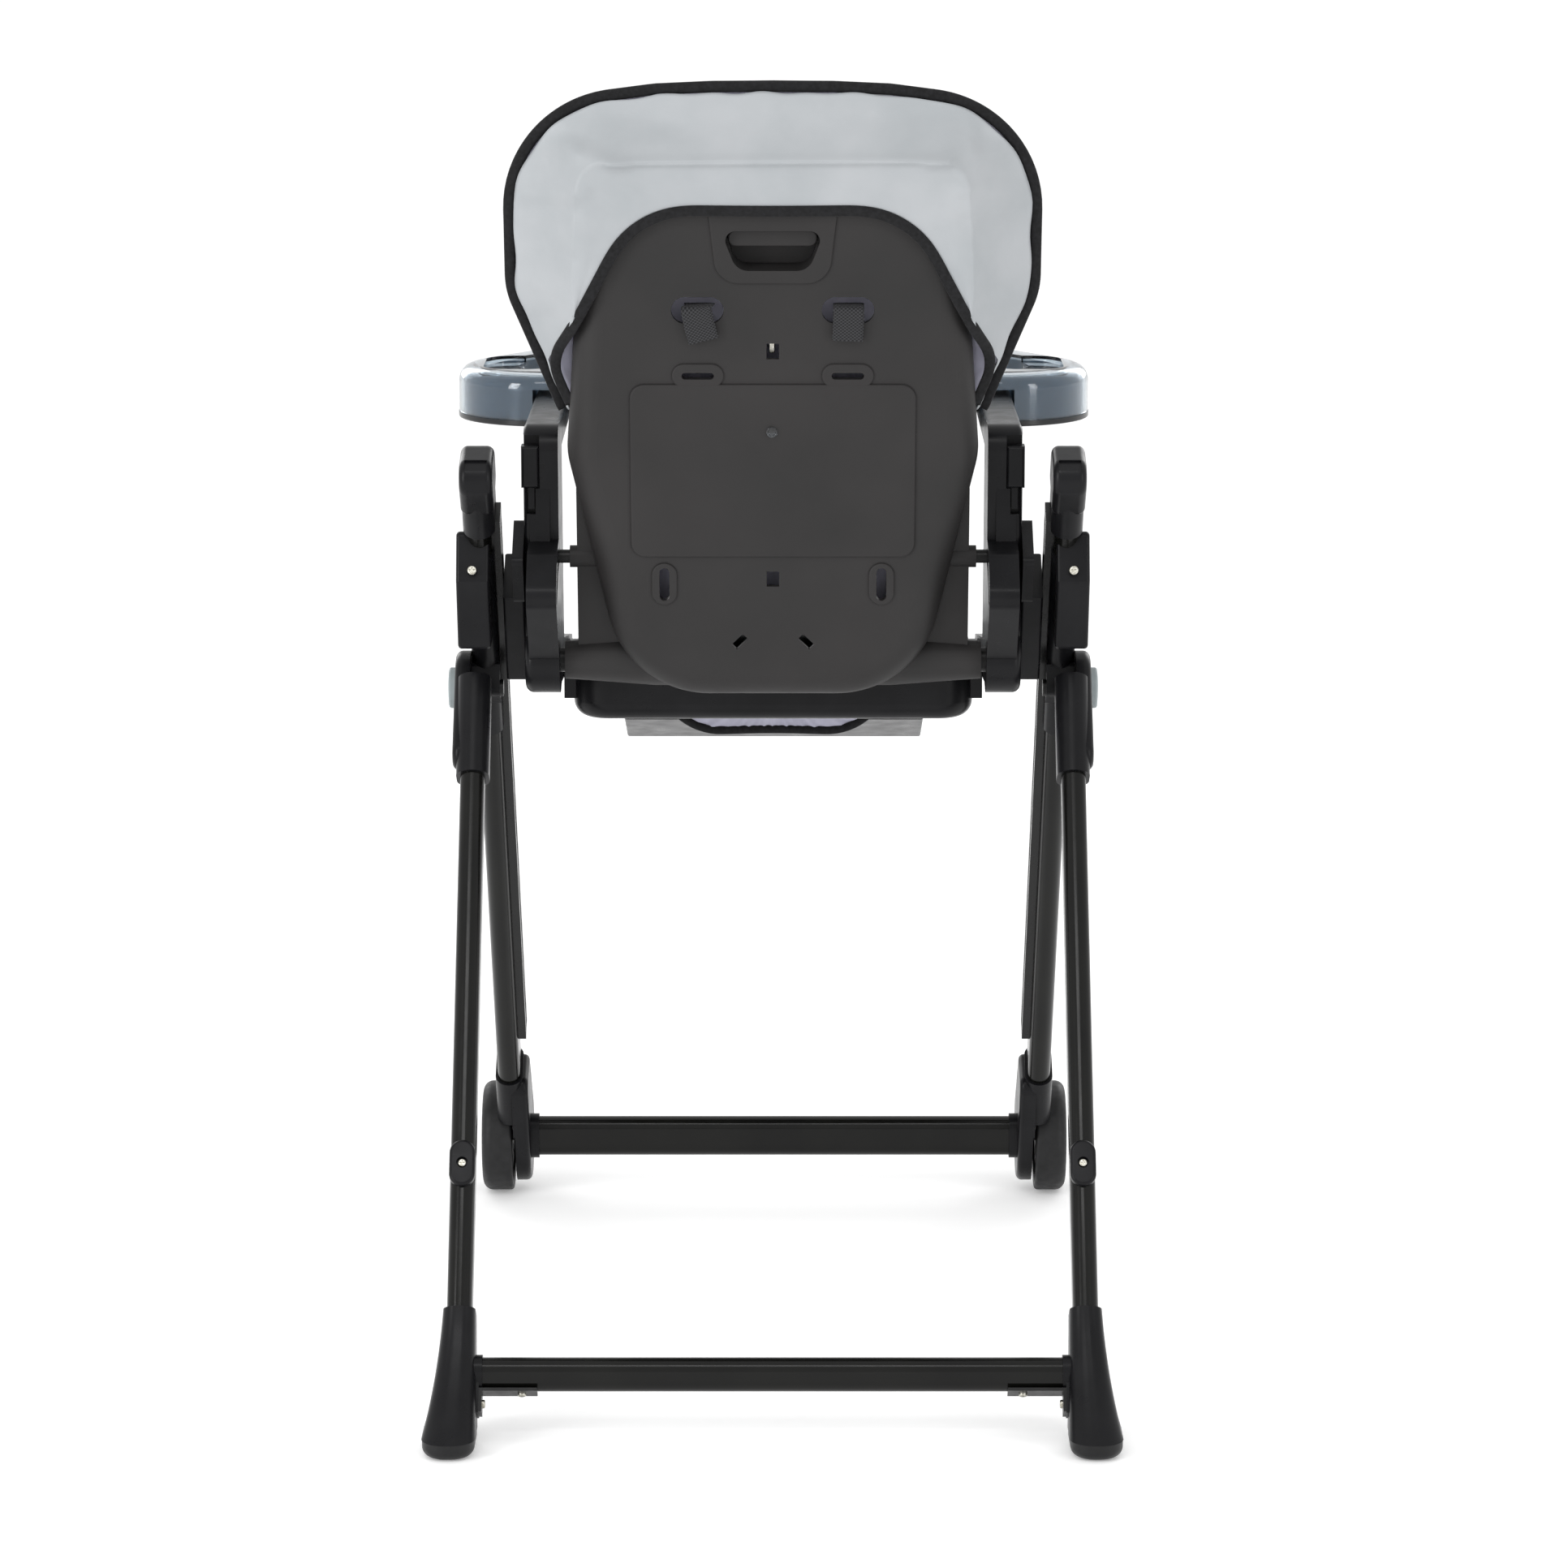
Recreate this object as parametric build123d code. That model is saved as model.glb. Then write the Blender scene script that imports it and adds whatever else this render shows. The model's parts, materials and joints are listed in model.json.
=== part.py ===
"""Folding baby high chair: A-frame on front wheels, height-sliding seat, reclining back, tray, footrest.

Row frame in millimetres: +Z up, the child faces -Y, +X is the child's left.
The origin is on the floor, under the centre of the chair's bounding box.
"""

from build123d import *
import math
import os

# ---------------------------------------------------------------- driving dimensions
LEAN = 33.5              # lean of the front and rear legs from the vertical, degrees
HUB_Z = 533.0            # height of the folding pivot
FRONT_OFFSET = 32.0      # front tube axis in front of the folding pivot
REAR_OFFSET = 26.0       # rear tube axis behind the folding pivot
FRONT_X = 238.5          # middle of the front tube, from the centre plane
REAR_X = 246.0           # middle of the rear tube
FRONT_TUBE = (45.0, 20.0)
REAR_TUBE = (32.0, 20.0)
TUBE_WALL = 1.5
RUN = 0.3                # clearance between pieces that move on each other

TRAY_REACH = 440.0       # front lip of the tray, in front of the folding pivot
FOOT_LENGTH = 66.0
FOOT_WIDTH = 42.0
WHEEL_R = 50.0
WHEEL_X = (238.0, 266.0)
WHEEL_AHEAD = 366.0      # wheel axle in front of the folding pivot

ARM_X = (175.0, 203.5)   # inner and outer face of a side arm
AXLE_Z = 562.0           # recline axle
AXLE_BACK = 30.0         # recline axle behind the folding pivot
RECLINE = 10.0           # lean of the backrest at rest
SEAT_FRONT = 232.0       # front edge of the seat pan, ahead of the folding pivot
TRAY_Z = (730.0, 776.0)

SIN, COS = math.sin(math.radians(LEAN)), math.cos(math.radians(LEAN))
TAN = SIN / COS
FOOT_BACK = REAR_OFFSET / COS + HUB_Z * TAN          # middle of a foot behind the pivot
HUB_Y = (TRAY_REACH - FOOT_BACK - FOOT_LENGTH / 2) / 2
AXLE_Y = HUB_Y + AXLE_BACK
WHEEL_Y = HUB_Y - WHEEL_AHEAD
BACK = Location((0, AXLE_Y, AXLE_Z), (-RECLINE, 0, 0))

parts = {}


# ---------------------------------------------------------------- helpers
def both(name, shape):
    """Keeps a left piece and its mirror image as two nodes."""
    parts[name + "_left"] = shape
    parts[name + "_right"] = mirror(shape, about=Plane.YZ)


def pair(name, *shapes):
    """Keeps identical left and right pieces as one node of separate solids."""
    solids = [s for shape in shapes for s in (*shape.solids(), *mirror(shape, about=Plane.YZ).solids())]
    parts[name] = Compound(children=solids)


def side(sketch, x0, x1):
    """A sketch drawn in Y and Z, as a plate from x0 to x1."""
    return extrude(Plane.YZ.offset(x0) * sketch, amount=x1 - x0)


def rod(x0, x1, y, z, radius):
    return side(Pos(y, z) * Circle(radius), x0, x1)


def block(x, y, z):
    """A box from its lowest and highest x, y and z."""
    return Pos((x[0] + x[1]) / 2, (y[0] + y[1]) / 2, (z[0] + z[1]) / 2) * Box(
        x[1] - x[0], y[1] - y[0], z[1] - z[0]
    )


def front_y(z):
    """Y of the front tube's axis at height z."""
    return HUB_Y - FRONT_OFFSET / COS + (z - HUB_Z) * TAN


def rear_y(z):
    """Y of the rear tube's axis at height z."""
    return HUB_Y + REAR_OFFSET / COS + (HUB_Z - z) * TAN


def front_plane(z, x=FRONT_X):
    """Plane across the front leg at height z: local x is X, local y points back and down."""
    return Plane(origin=(x, front_y(z), z), x_dir=(1, 0, 0), z_dir=(0, SIN, COS))


def rear_plane(z, x=REAR_X):
    """Plane across the rear leg at height z, looking down the leg: local y points forward and down."""
    return Plane(origin=(x, rear_y(z), z), x_dir=(1, 0, 0), z_dir=(0, SIN, -COS))


def front_run(z0, z1, width, thick, x=FRONT_X):
    """Oval bar along the front leg from height z0 to z1."""
    return extrude(front_plane(z0, x) * SlotOverall(width, thick, rotation=90), amount=(z1 - z0) / COS)


def rear_run(z0, z1, width, thick, x=REAR_X):
    """Oval bar down the rear leg from height z0 to z1, z0 above z1."""
    return extrude(rear_plane(z0, x) * SlotOverall(width, thick, rotation=90), amount=(z0 - z1) / COS)


def hull_of(circles):
    """Smooth outline round circles given as (x, y, radius), each also mirrored to -x."""
    edges = []
    for x, y, r in circles:
        for sx in ((x, -x) if x else (x,)):
            edges += (Pos(sx, y) * Circle(r)).edges()
    return make_hull(edges)


def hub_point(across, along):
    """(Y, Z) from the folding pivot: across is behind the front leg, along is up it."""
    return (HUB_Y + across * COS + along * SIN, HUB_Z - across * SIN + along * COS)


def soften(shape, edges, radius):
    """Fillets edges, with the largest of a few radii that the shape takes."""
    for share in (1, 0.75, 0.5, 0.25):
        try:
            return fillet(edges, radius * share)
        except (ValueError, RuntimeError):
            continue
    return shape


# ---------------------------------------------------------------- front frame
TUBE_FOOT_Z = 95.0       # lower end of the front tube
TUBE_TOP_Z = 722.0       # upper end of the front tube
RAIL = (24.0, 7.0)       # width and thickness of the height rail
RAIL_Z = (172.0, 690.0)
RAIL_X = (FRONT_X - FRONT_TUBE[1] / 2 - RAIL[1], FRONT_X - FRONT_TUBE[1] / 2)
STEP = 60.0              # spacing of the height positions along the leg
SLIDER_Z = 593.0         # middle of the slider at rest
CROSSBAR_FRONT = (36.0, 20.0)
CROSSBAR_FRONT_Z = 56.0
CROSSBAR_FRONT_X = 224.0
PIN_R = 4.0


def front_leg():
    outer = front_run(TUBE_FOOT_Z, TUBE_TOP_Z, *FRONT_TUBE)
    inner = front_run(TUBE_FOOT_Z, TUBE_TOP_Z, FRONT_TUBE[0] - 2 * TUBE_WALL, FRONT_TUBE[1] - 2 * TUBE_WALL)
    return outer - inner


def height_rail():
    """C-shaped rail on the tube's inner face, with a latch hole at each height and an end stop."""
    length = (RAIL_Z[1] - RAIL_Z[0]) / COS
    plane = front_plane(RAIL_Z[0], (RAIL_X[0] + RAIL_X[1]) / 2)
    rail = extrude(plane * Rectangle(RAIL[1], RAIL[0]), amount=length)
    stop = 6.0
    inner = plane.offset(stop)
    rail -= extrude(inner * Pos(0.5, 0) * Rectangle(3, 16), amount=length - 2 * stop)
    rail -= extrude(inner * Pos(-RAIL[1] / 2, 0) * Rectangle(RAIL[1], 9), amount=length - 2 * stop)
    for k in range(-5, 2):
        z = SLIDER_Z + k * STEP * COS
        rail -= rod(RAIL_X[0], RAIL_X[1], front_y(z), z, 4.5)
    return rail


def leg_cap():
    """Moulded tube end: a sleeve on the tube that bends back into a rounded tray hook."""
    sleeve = front_run(684, TUBE_TOP_Z + 2, 51, 26)
    head = side(
        make_hull(
            [
                *(Pos(*hub_point(-38, 208)) * Circle(19)).edges(),
                *(Pos(*hub_point(-18, 216)) * Circle(17)).edges(),
                *(Pos(*hub_point(-50, 190)) * Circle(7)).edges(),
                *(Pos(*hub_point(-14, 190)) * Circle(7)).edges(),
            ]
        ),
        FRONT_X - 13.5,
        FRONT_X + 13.5,
    )
    head = soften(head, head.faces().sort_by(Axis.X)[0].edges() + head.faces().sort_by(Axis.X)[-1].edges(), 6)
    slit = side(Pos(*hub_point(-6, 232)) * Rectangle(30, 2, rotation=-LEAN), FRONT_X - 9, FRONT_X + 9)
    return sleeve + head - slit - front_run(600, TUBE_TOP_Z, *FRONT_TUBE) - rail_envelope()


def hub_sleeve():
    """Moulded sleeve on the front tube: pivot lug below, and a rear block with the sleeve's screw above."""
    collar = front_run(HUB_Z - 34, 664, 51, 23.4)
    wall = FRONT_OFFSET - 51 / 2
    lug_profile = make_hull(
        [
            *(Pos(HUB_Y, HUB_Z) * Circle(7.5)).edges(),
            *(Pos(*hub_point(-wall - 4, 14)) * Circle(4)).edges(),
            *(Pos(*hub_point(-wall - 4, -22)) * Circle(4)).edges(),
        ]
    )
    lug = side(lug_profile, FRONT_X - 11.7, FRONT_X + 11.7)
    block_profile = make_hull(
        [
            *(Pos(*hub_point(-20, 150)) * Circle(5)).edges(),
            *(Pos(*hub_point(8, 128)) * Circle(5)).edges(),
            *(Pos(*hub_point(24, 74)) * Circle(5)).edges(),
            *(Pos(*hub_point(-20, 52)) * Circle(5)).edges(),
        ]
    )
    stop = side(block_profile, REAR_X - 15.5, REAR_X + 11.5)
    stop = soften(stop, stop.faces().sort_by(Axis.X)[0].edges() + stop.faces().sort_by(Axis.X)[-1].edges(), 3)
    sleeve = collar + lug + stop
    sleeve -= front_run(440, TUBE_TOP_Z, *FRONT_TUBE)
    sleeve -= extrude(
        front_plane(RAIL_Z[0], (RAIL_X[0] + RAIL_X[1]) / 2) * Rectangle(RAIL[1], RAIL[0]),
        amount=(RAIL_Z[1] - RAIL_Z[0]) / COS,
    )
    sleeve -= rod(FRONT_X - 20, FRONT_X + 20, HUB_Y, HUB_Z, PIN_R)
    sleeve -= screw_cutter(sleeve_screw_plane(), 12)
    return sleeve


def sleeve_screw_plane():
    """On the sloping back face of the sleeve's block."""
    y, z = hub_point(5, 142)
    y2, z2 = hub_point(14, 100)
    return Plane(origin=(REAR_X - 2, y + 0.5, z - 4), x_dir=(1, 0, 0), z_dir=(0, 0.92, 0.39))


def screw(plane, length, head_r=3.8, shank_r=2.0):
    """Pan-head screw with a cross recess. The plane lies under the head, its normal points out."""
    head = extrude(plane * Circle(head_r), amount=2.4)
    head = soften(head, head.faces().sort_by(Axis(plane.origin, plane.z_dir))[-1].edges(), 1.2)
    shank = extrude(plane * Circle(shank_r), amount=-length)
    cross = extrude(plane.offset(1.4) * (Rectangle(4.2, 0.9) + Rectangle(0.9, 4.2)), amount=2)
    return head + shank - cross


def screw_cutter(plane, length, head_r=3.8, shank_r=2.0):
    """The hole that a screw fills: a sunk seat for its head, and its shank."""
    return extrude(plane * Circle(head_r + 1.2), amount=20) + extrude(plane * Circle(shank_r), amount=-length)


def wheel_bracket():
    """Moulded foot of the front leg: tube socket, round inner plate and crossbar collar."""
    socket = front_run(TUBE_FOOT_Z - 8, 132, 50, 24.5)
    plate_profile = make_hull(
        [
            *(Pos(WHEEL_Y, WHEEL_R) * Circle(41)).edges(),
            *(Pos(front_y(118) + 12, 112) * Circle(12)).edges(),
            *(Pos(front_y(118) - 14, 126) * Circle(10)).edges(),
        ]
    )
    plate = side(plate_profile, 221.5, WHEEL_X[0] - 1.5)
    plate = soften(plate, plate.faces().sort_by(Axis.X)[0].edges(), 5)
    collar_y = front_crossbar_y()
    collar = side(Pos(collar_y, CROSSBAR_FRONT_Z) * SlotOverall(41, 25, rotation=90), 214, 224)
    body = socket + plate + collar
    body -= front_run(TUBE_FOOT_Z, 200, *FRONT_TUBE)
    body -= rail_envelope()
    body -= side(
        Pos(collar_y, CROSSBAR_FRONT_Z) * SlotOverall(*CROSSBAR_FRONT, rotation=90), 200, CROSSBAR_FRONT_X
    )
    body -= rod(WHEEL_X[0] - 3, 300, WHEEL_Y, WHEEL_R, WHEEL_R + 3)
    body -= rod(200, 300, WHEEL_Y, WHEEL_R, 5)
    return body


def rail_envelope():
    return extrude(
        front_plane(RAIL_Z[0], (RAIL_X[0] + RAIL_X[1]) / 2) * Rectangle(RAIL[1], RAIL[0]),
        amount=(RAIL_Z[1] - RAIL_Z[0]) / COS,
    )


def front_crossbar_y():
    return WHEEL_Y + 24


def front_crossbar():
    y = front_crossbar_y()
    outer = Pos(y, CROSSBAR_FRONT_Z) * SlotOverall(*CROSSBAR_FRONT, rotation=90)
    inner = Pos(y, CROSSBAR_FRONT_Z) * SlotOverall(
        CROSSBAR_FRONT[0] - 2 * TUBE_WALL, CROSSBAR_FRONT[1] - 2 * TUBE_WALL, rotation=90
    )
    return side(outer - inner, -CROSSBAR_FRONT_X, CROSSBAR_FRONT_X)


def wheel_tyre():
    """Wide hard tyre with rounded shoulders."""
    x0, x1 = WHEEL_X
    tyre = rod(x0, x1, WHEEL_Y, WHEEL_R, WHEEL_R)
    tyre = soften(tyre, tyre.faces().sort_by(Axis.X)[-1].edges(), 9)
    tyre = soften(tyre, tyre.faces().sort_by(Axis.X)[0].edges(), 3)
    return tyre - rod(x0, x1, WHEEL_Y, WHEEL_R, 36)


def wheel_core():
    """Spoked wheel centre with a dished outer face."""
    x0, x1 = WHEEL_X
    core = rod(x0 + 2, x1 - 2, WHEEL_Y, WHEEL_R, 36)
    core -= rod(x1 - 7, x1, WHEEL_Y, WHEEL_R, 31) - rod(x1 - 7, x1, WHEEL_Y, WHEEL_R, 13)
    for k in range(5):
        angle = math.radians(90 + 72 * k)
        core -= rod(x0, x1, WHEEL_Y + 22 * math.cos(angle), WHEEL_R + 22 * math.sin(angle), 6)
    return core - rod(x0, x1, WHEEL_Y, WHEEL_R, 5.05)


def wheel_axle():
    """Axle with a flat head on each end."""
    x0, x1 = 221.5, WHEEL_X[1] - 2 + RUN
    axle = rod(x0, x1, WHEEL_Y, WHEEL_R, 5)
    axle += rod(x0 - 2.5, x0, WHEEL_Y, WHEEL_R, 8)
    return axle + rod(x1, x1 + 1.6, WHEEL_Y, WHEEL_R, 8)


# ---------------------------------------------------------------- rear frame
SOCKET_TOP = 5.0         # the rear socket starts this far below the pivot, along the rear leg
DISC_X = (250.6, 263.0)
REAR_TUBE_FOOT_Z = 30.0
FOOT_TOP_Z = 92.0
FOOT_SEAM_Z = 13.0
CROSSBAR_REAR = (27.0, 20.0)
CROSSBAR_REAR_Z = 50.0
CROSSBAR_REAR_X = 233.0
BUTTON_R = 17.0


def rear_leg_point(across, along):
    """(Y, Z) from the pivot: across is behind the pivot, along is down the rear leg."""
    return (HUB_Y + across * COS + along * SIN, HUB_Z + across * SIN - along * COS)


def rear_tube_top():
    """Height at which the rear tube starts inside its socket."""
    return rear_leg_point(REAR_OFFSET, 12)[1]


def rear_leg():
    top = rear_tube_top()
    leg = rear_run(top, REAR_TUBE_FOOT_Z, *REAR_TUBE)
    leg -= rear_run(top, REAR_TUBE_FOOT_Z, REAR_TUBE[0] - 2 * TUBE_WALL, REAR_TUBE[1] - 2 * TUBE_WALL)
    return leg - extrude(joint_screw_plane() * Circle(2.0), amount=-20)


def rear_bracket():
    """Hub disc outside the front leg, with the socket that the rear tube is pushed into."""
    top_z = rear_leg_point(REAR_OFFSET, SOCKET_TOP)[1]
    bottom_z = rear_leg_point(REAR_OFFSET, 92)[1]
    socket = rear_run(top_z, bottom_z, REAR_TUBE[0] + 6, REAR_TUBE[1] + 7)
    disc = side(
        make_hull(
            [
                *(Pos(HUB_Y, HUB_Z) * Circle(31)).edges(),
                *(Pos(*rear_leg_point(REAR_OFFSET, 70)) * Circle(14)).edges(),
            ]
        ),
        *DISC_X,
    )
    disc = soften(disc, disc.faces().sort_by(Axis.X)[-1].edges(), 6)
    body = socket + disc
    body -= rear_run(rear_tube_top(), 400, *REAR_TUBE)
    body -= rod(DISC_X[0] - 1, DISC_X[1] - 5, HUB_Y, HUB_Z, PIN_R + RUN / 6)
    body -= rod(DISC_X[1] - 6, 300, HUB_Y, HUB_Z, BUTTON_R + RUN)
    # Room for the pivot lug and the front sleeve as the leg swings.
    body -= rod(220, DISC_X[0], HUB_Y, HUB_Z, 7.8)
    return body


def hub_pin():
    """Riveted pivot pin through the sleeve's lug and the disc."""
    pin = rod(FRONT_X - 11.7, DISC_X[1] - 6.3, HUB_Y, HUB_Z, PIN_R)
    return pin + rod(FRONT_X - 14.7, FRONT_X - 11.7, HUB_Y, HUB_Z, 7)


def fold_button():
    """Grey round push button in the outer face of the hub."""
    button = rod(DISC_X[1] - 1.5, DISC_X[1] + 6, HUB_Y, HUB_Z, BUTTON_R)
    return soften(button, button.faces().sort_by(Axis.X)[-1].edges(), 2)


def rear_foot():
    """Moulded foot: flares outwards and forwards from the tube to the pad."""
    top = rear_plane(FOOT_TOP_Z) * RectangleRounded(25.5, 38, 11)
    floor = Plane(origin=(REAR_X + 5.5, rear_y(0), FOOT_SEAM_Z), x_dir=(1, 0, 0), z_dir=(0, 0, -1))
    base = floor * RectangleRounded(FOOT_WIDTH, FOOT_LENGTH, 19)
    mid_plane = Plane(
        origin=(REAR_X + 2, rear_y(48), 48), x_dir=(1, 0, 0), z_dir=(0, SIN / 2, -1)
    )
    middle = mid_plane * RectangleRounded(32, 48, 14)
    foot = loft([top, middle, base])
    foot -= rear_run(300, REAR_TUBE_FOOT_Z, *REAR_TUBE)
    boss = side(
        Pos(rear_y(CROSSBAR_REAR_Z), CROSSBAR_REAR_Z) * SlotOverall(31, 24, rotation=90),
        CROSSBAR_REAR_X - 6,
        REAR_X - 2,
    )
    foot += boss - rear_run(300, REAR_TUBE_FOOT_Z, *REAR_TUBE)
    foot += under_crossbar((BRACKET_X[1], REAR_X), 17, (0, BRACKET_DROP + 1)) - rear_run(
        300, REAR_TUBE_FOOT_Z, *REAR_TUBE
    )
    foot -= side(
        Pos(rear_y(CROSSBAR_REAR_Z), CROSSBAR_REAR_Z) * SlotOverall(*CROSSBAR_REAR, rotation=90),
        200,
        CROSSBAR_REAR_X,
    )
    foot -= bracket_envelope()
    foot -= screw_cutter(corner_screw_planes()[1], 9, 3.4)
    return foot


def foot_pad():
    """Soft foot cap under the seam, rounded to the floor."""
    floor = Plane(origin=(REAR_X + 5.5, rear_y(0), 0))
    pad = extrude(floor * RectangleRounded(FOOT_WIDTH - 1, FOOT_LENGTH, 18.5), amount=FOOT_SEAM_Z)
    return soften(pad, pad.faces().sort_by(Axis.Z)[0].edges(), 8)


def rear_crossbar():
    y = rear_y(CROSSBAR_REAR_Z)
    outer = Pos(y, CROSSBAR_REAR_Z) * SlotOverall(*CROSSBAR_REAR, rotation=90)
    inner = Pos(y, CROSSBAR_REAR_Z) * SlotOverall(
        CROSSBAR_REAR[0] - 2 * TUBE_WALL, CROSSBAR_REAR[1] - 2 * TUBE_WALL, rotation=90
    )
    bar = side(outer - inner, -CROSSBAR_REAR_X, CROSSBAR_REAR_X)
    for plane in (corner_screw_planes()[0], mirror_plane(corner_screw_planes()[0])):
        bar -= extrude(plane * Circle(2.0), amount=-12)
    return bar


def mirror_plane(plane):
    o = plane.origin
    return Plane(origin=(-o.X, o.Y, o.Z), x_dir=(1, 0, 0), z_dir=(-plane.z_dir.X, plane.z_dir.Y, plane.z_dir.Z))


BRACKET_T = 2.5
BRACKET_X = (184.0, 229.5)
BRACKET_DROP = 32.0      # how far the bracket reaches down the leg from the crossbar's axis


def crossbar_plane():
    """Across the rear leg at the crossbar: local z runs down the leg."""
    return Plane(origin=(0, rear_y(CROSSBAR_REAR_Z), CROSSBAR_REAR_Z), x_dir=(1, 0, 0), z_dir=(0, SIN, -COS))


def under_crossbar(x, width, z):
    """A block beside the crossbar, turned with the leg, from its lowest and highest x and z."""
    size = Box(x[1] - x[0], width, z[1] - z[0])
    return crossbar_plane() * Pos((x[0] + x[1]) / 2, 0, (z[0] + z[1]) / 2) * size


def bracket_level():
    """Distance from the crossbar's axis to its underside, down the leg."""
    return CROSSBAR_REAR[1] / 2 + (CROSSBAR_REAR[0] - CROSSBAR_REAR[1]) / 2 * COS


def corner_bracket():
    """Steel angle plate under the crossbar and down the foot's inner face."""
    x0, x1 = BRACKET_X
    z0 = bracket_level()
    plate = under_crossbar((x0, x1), 16, (z0, z0 + BRACKET_T))
    plate += under_crossbar((x1 - BRACKET_T, x1), 16, (z0, BRACKET_DROP))
    for plane in corner_screw_planes():
        plate -= extrude(plane * Circle(2.0), amount=-12)
    return plate


def bracket_envelope():
    return under_crossbar((150, BRACKET_X[1]), 18, (bracket_level(), BRACKET_DROP + 6))


def corner_screw_planes():
    """Where the screws sit: under the bracket's arm, and on the inner face of its drop."""
    z0 = bracket_level()
    turned = crossbar_plane()
    under = Plane(
        origin=(turned * Pos(196, 0, z0 + BRACKET_T)).position, x_dir=(1, 0, 0), z_dir=turned.z_dir
    )
    face = Plane(
        origin=(turned * Pos(BRACKET_X[1] - BRACKET_T, 0, 24)).position, x_dir=(0, 1, 0), z_dir=(-1, 0, 0)
    )
    return [under, face]


def joint_collar():
    """Oval plastic plate on the back of the rear tube, where its two lengths are screwed together."""
    plane = Plane(
        origin=(REAR_X, rear_y(190) + 14 * COS, 190 + 14 * SIN), x_dir=(1, 0, 0), z_dir=(0, COS, SIN)
    )
    plate = extrude(plane * SlotOverall(38, 20.5, rotation=90), amount=6.5)
    plate = soften(plate, plate.faces().sort_by(Axis(plane.origin, plane.z_dir))[-1].edges(), 2.5)
    plate -= rear_run(300, 60, *REAR_TUBE)
    return plate - screw_cutter(joint_screw_plane(), 20, 3.4)


def joint_screw_plane():
    out = REAR_TUBE[0] / 2 + 1.2
    return Plane(
        origin=(REAR_X, rear_y(190) + out * COS, 190 + out * SIN), x_dir=(1, 0, 0), z_dir=(0, COS, SIN)
    )


# ---------------------------------------------------------------- seat
ARM_TOP_Z = 758.0
ARM_UNDER_Z = 728.0
ARM_FRONT_Y = HUB_Y - 256.0
LOCK_R = 90.0            # recline lock pin, from the recline axle
LOCK_PIN_R = 5.5
RECLINE_RANGE = 35.0
AXLE_R = 10.0


def around_axle(radius, degrees):
    """(Y, Z) at a radius from the recline axle, at an angle behind the vertical."""
    a = math.radians(degrees)
    return (AXLE_Y + radius * math.sin(a), AXLE_Z + radius * math.cos(a))


def side_arm():
    """Moulded side of the seat: axle boss, recline sector, column and armrest in one piece."""
    boss = rod(ARM_X[0], ARM_X[1], AXLE_Y, AXLE_Z, 27)
    boss = soften(boss, boss.faces().sort_by(Axis.X)[-1].edges(), 7)
    sector = side(
        make_hull(
            [
                *(Pos(*around_axle(LOCK_R, RECLINE)) * Circle(14)).edges(),
                *(Pos(*around_axle(LOCK_R, RECLINE + RECLINE_RANGE)) * Circle(14)).edges(),
                *(Pos(*around_axle(LOCK_R + 4, RECLINE + RECLINE_RANGE / 2)) * Circle(14)).edges(),
                *(Pos(AXLE_Y - 6, AXLE_Z) * Circle(20)).edges(),
            ]
        ),
        ARM_X[0],
        ARM_X[1] - 4,
    )
    column = side(
        make_hull(
            [
                *(Pos(AXLE_Y - 10, AXLE_Z - 4) * Circle(20)).edges(),
                *(Pos(AXLE_Y - 52, AXLE_Z + 2) * Circle(20)).edges(),
                *(Pos(AXLE_Y - 34, 738) * Circle(18)).edges(),
                *(Pos(AXLE_Y + 2, 738) * Circle(20)).edges(),
            ]
        ),
        ARM_X[0],
        ARM_X[1],
    )
    column = soften(column, column.faces().sort_by(Axis.X)[-1].edges(), 4)
    rest_z = (ARM_TOP_Z + ARM_UNDER_Z) / 2
    rest_profile = make_hull(
        [
            *(Pos(AXLE_Y + 2, rest_z) * Circle((ARM_TOP_Z - ARM_UNDER_Z) / 2)).edges(),
            *(Pos(ARM_FRONT_Y + 12, rest_z + 2) * Circle(12)).edges(),
        ]
    )
    rest = side(rest_profile, *ARM_X)
    rest = soften(rest, rest.faces().sort_by(Axis.X)[-1].edges() + rest.faces().sort_by(Axis.X)[0].edges(), 5)
    rail = side(
        make_hull(
            [
                *(Pos(AXLE_Y - 20, AXLE_Z - 4) * Circle(18)).edges(),
                *(Pos(HUB_Y - SEAT_FRONT + 30, 532) * Circle(12)).edges(),
            ]
        ),
        ARM_X[0],
        ARM_X[0] + 14,
    )
    arm = boss + sector + column + rest + rail
    rib = side(
        make_hull(
            [
                *(Pos(AXLE_Y + 12, 706) * Circle(8)).edges(),
                *(Pos(AXLE_Y + 16, 612) * Circle(8)).edges(),
                *(Pos(AXLE_Y - 10, 650) * Circle(8)).edges(),
            ]
        ),
        ARM_X[0] + 7,
        ARM_X[1] - 5,
    )
    arm += rib
    # Curved groove that the recline lock pin runs in.
    groove = []
    steps = 10
    for k in range(steps):
        a0 = RECLINE - 1 + (RECLINE_RANGE + 2) * k / steps
        a1 = RECLINE - 1 + (RECLINE_RANGE + 2) * (k + 1) / steps
        groove.append(
            make_hull(
                [
                    *(Pos(*around_axle(LOCK_R, a0)) * Circle(LOCK_PIN_R + 0.9)).edges(),
                    *(Pos(*around_axle(LOCK_R, a1)) * Circle(LOCK_PIN_R + 0.9)).edges(),
                ]
            )
        )
    for g in groove:
        arm -= side(g, ARM_X[0] - 1, ARM_X[0] + 9.5)
    arm -= rod(ARM_X[0], ARM_X[0] + 20, AXLE_Y, AXLE_Z, AXLE_R)
    arm -= trigger_pocket()
    return arm


TRIGGER_X = (190.5, 205.0)
TRIGGER_Z = (708.0, 742.0)
TRIGGER_TRAVEL = 8.0


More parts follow.
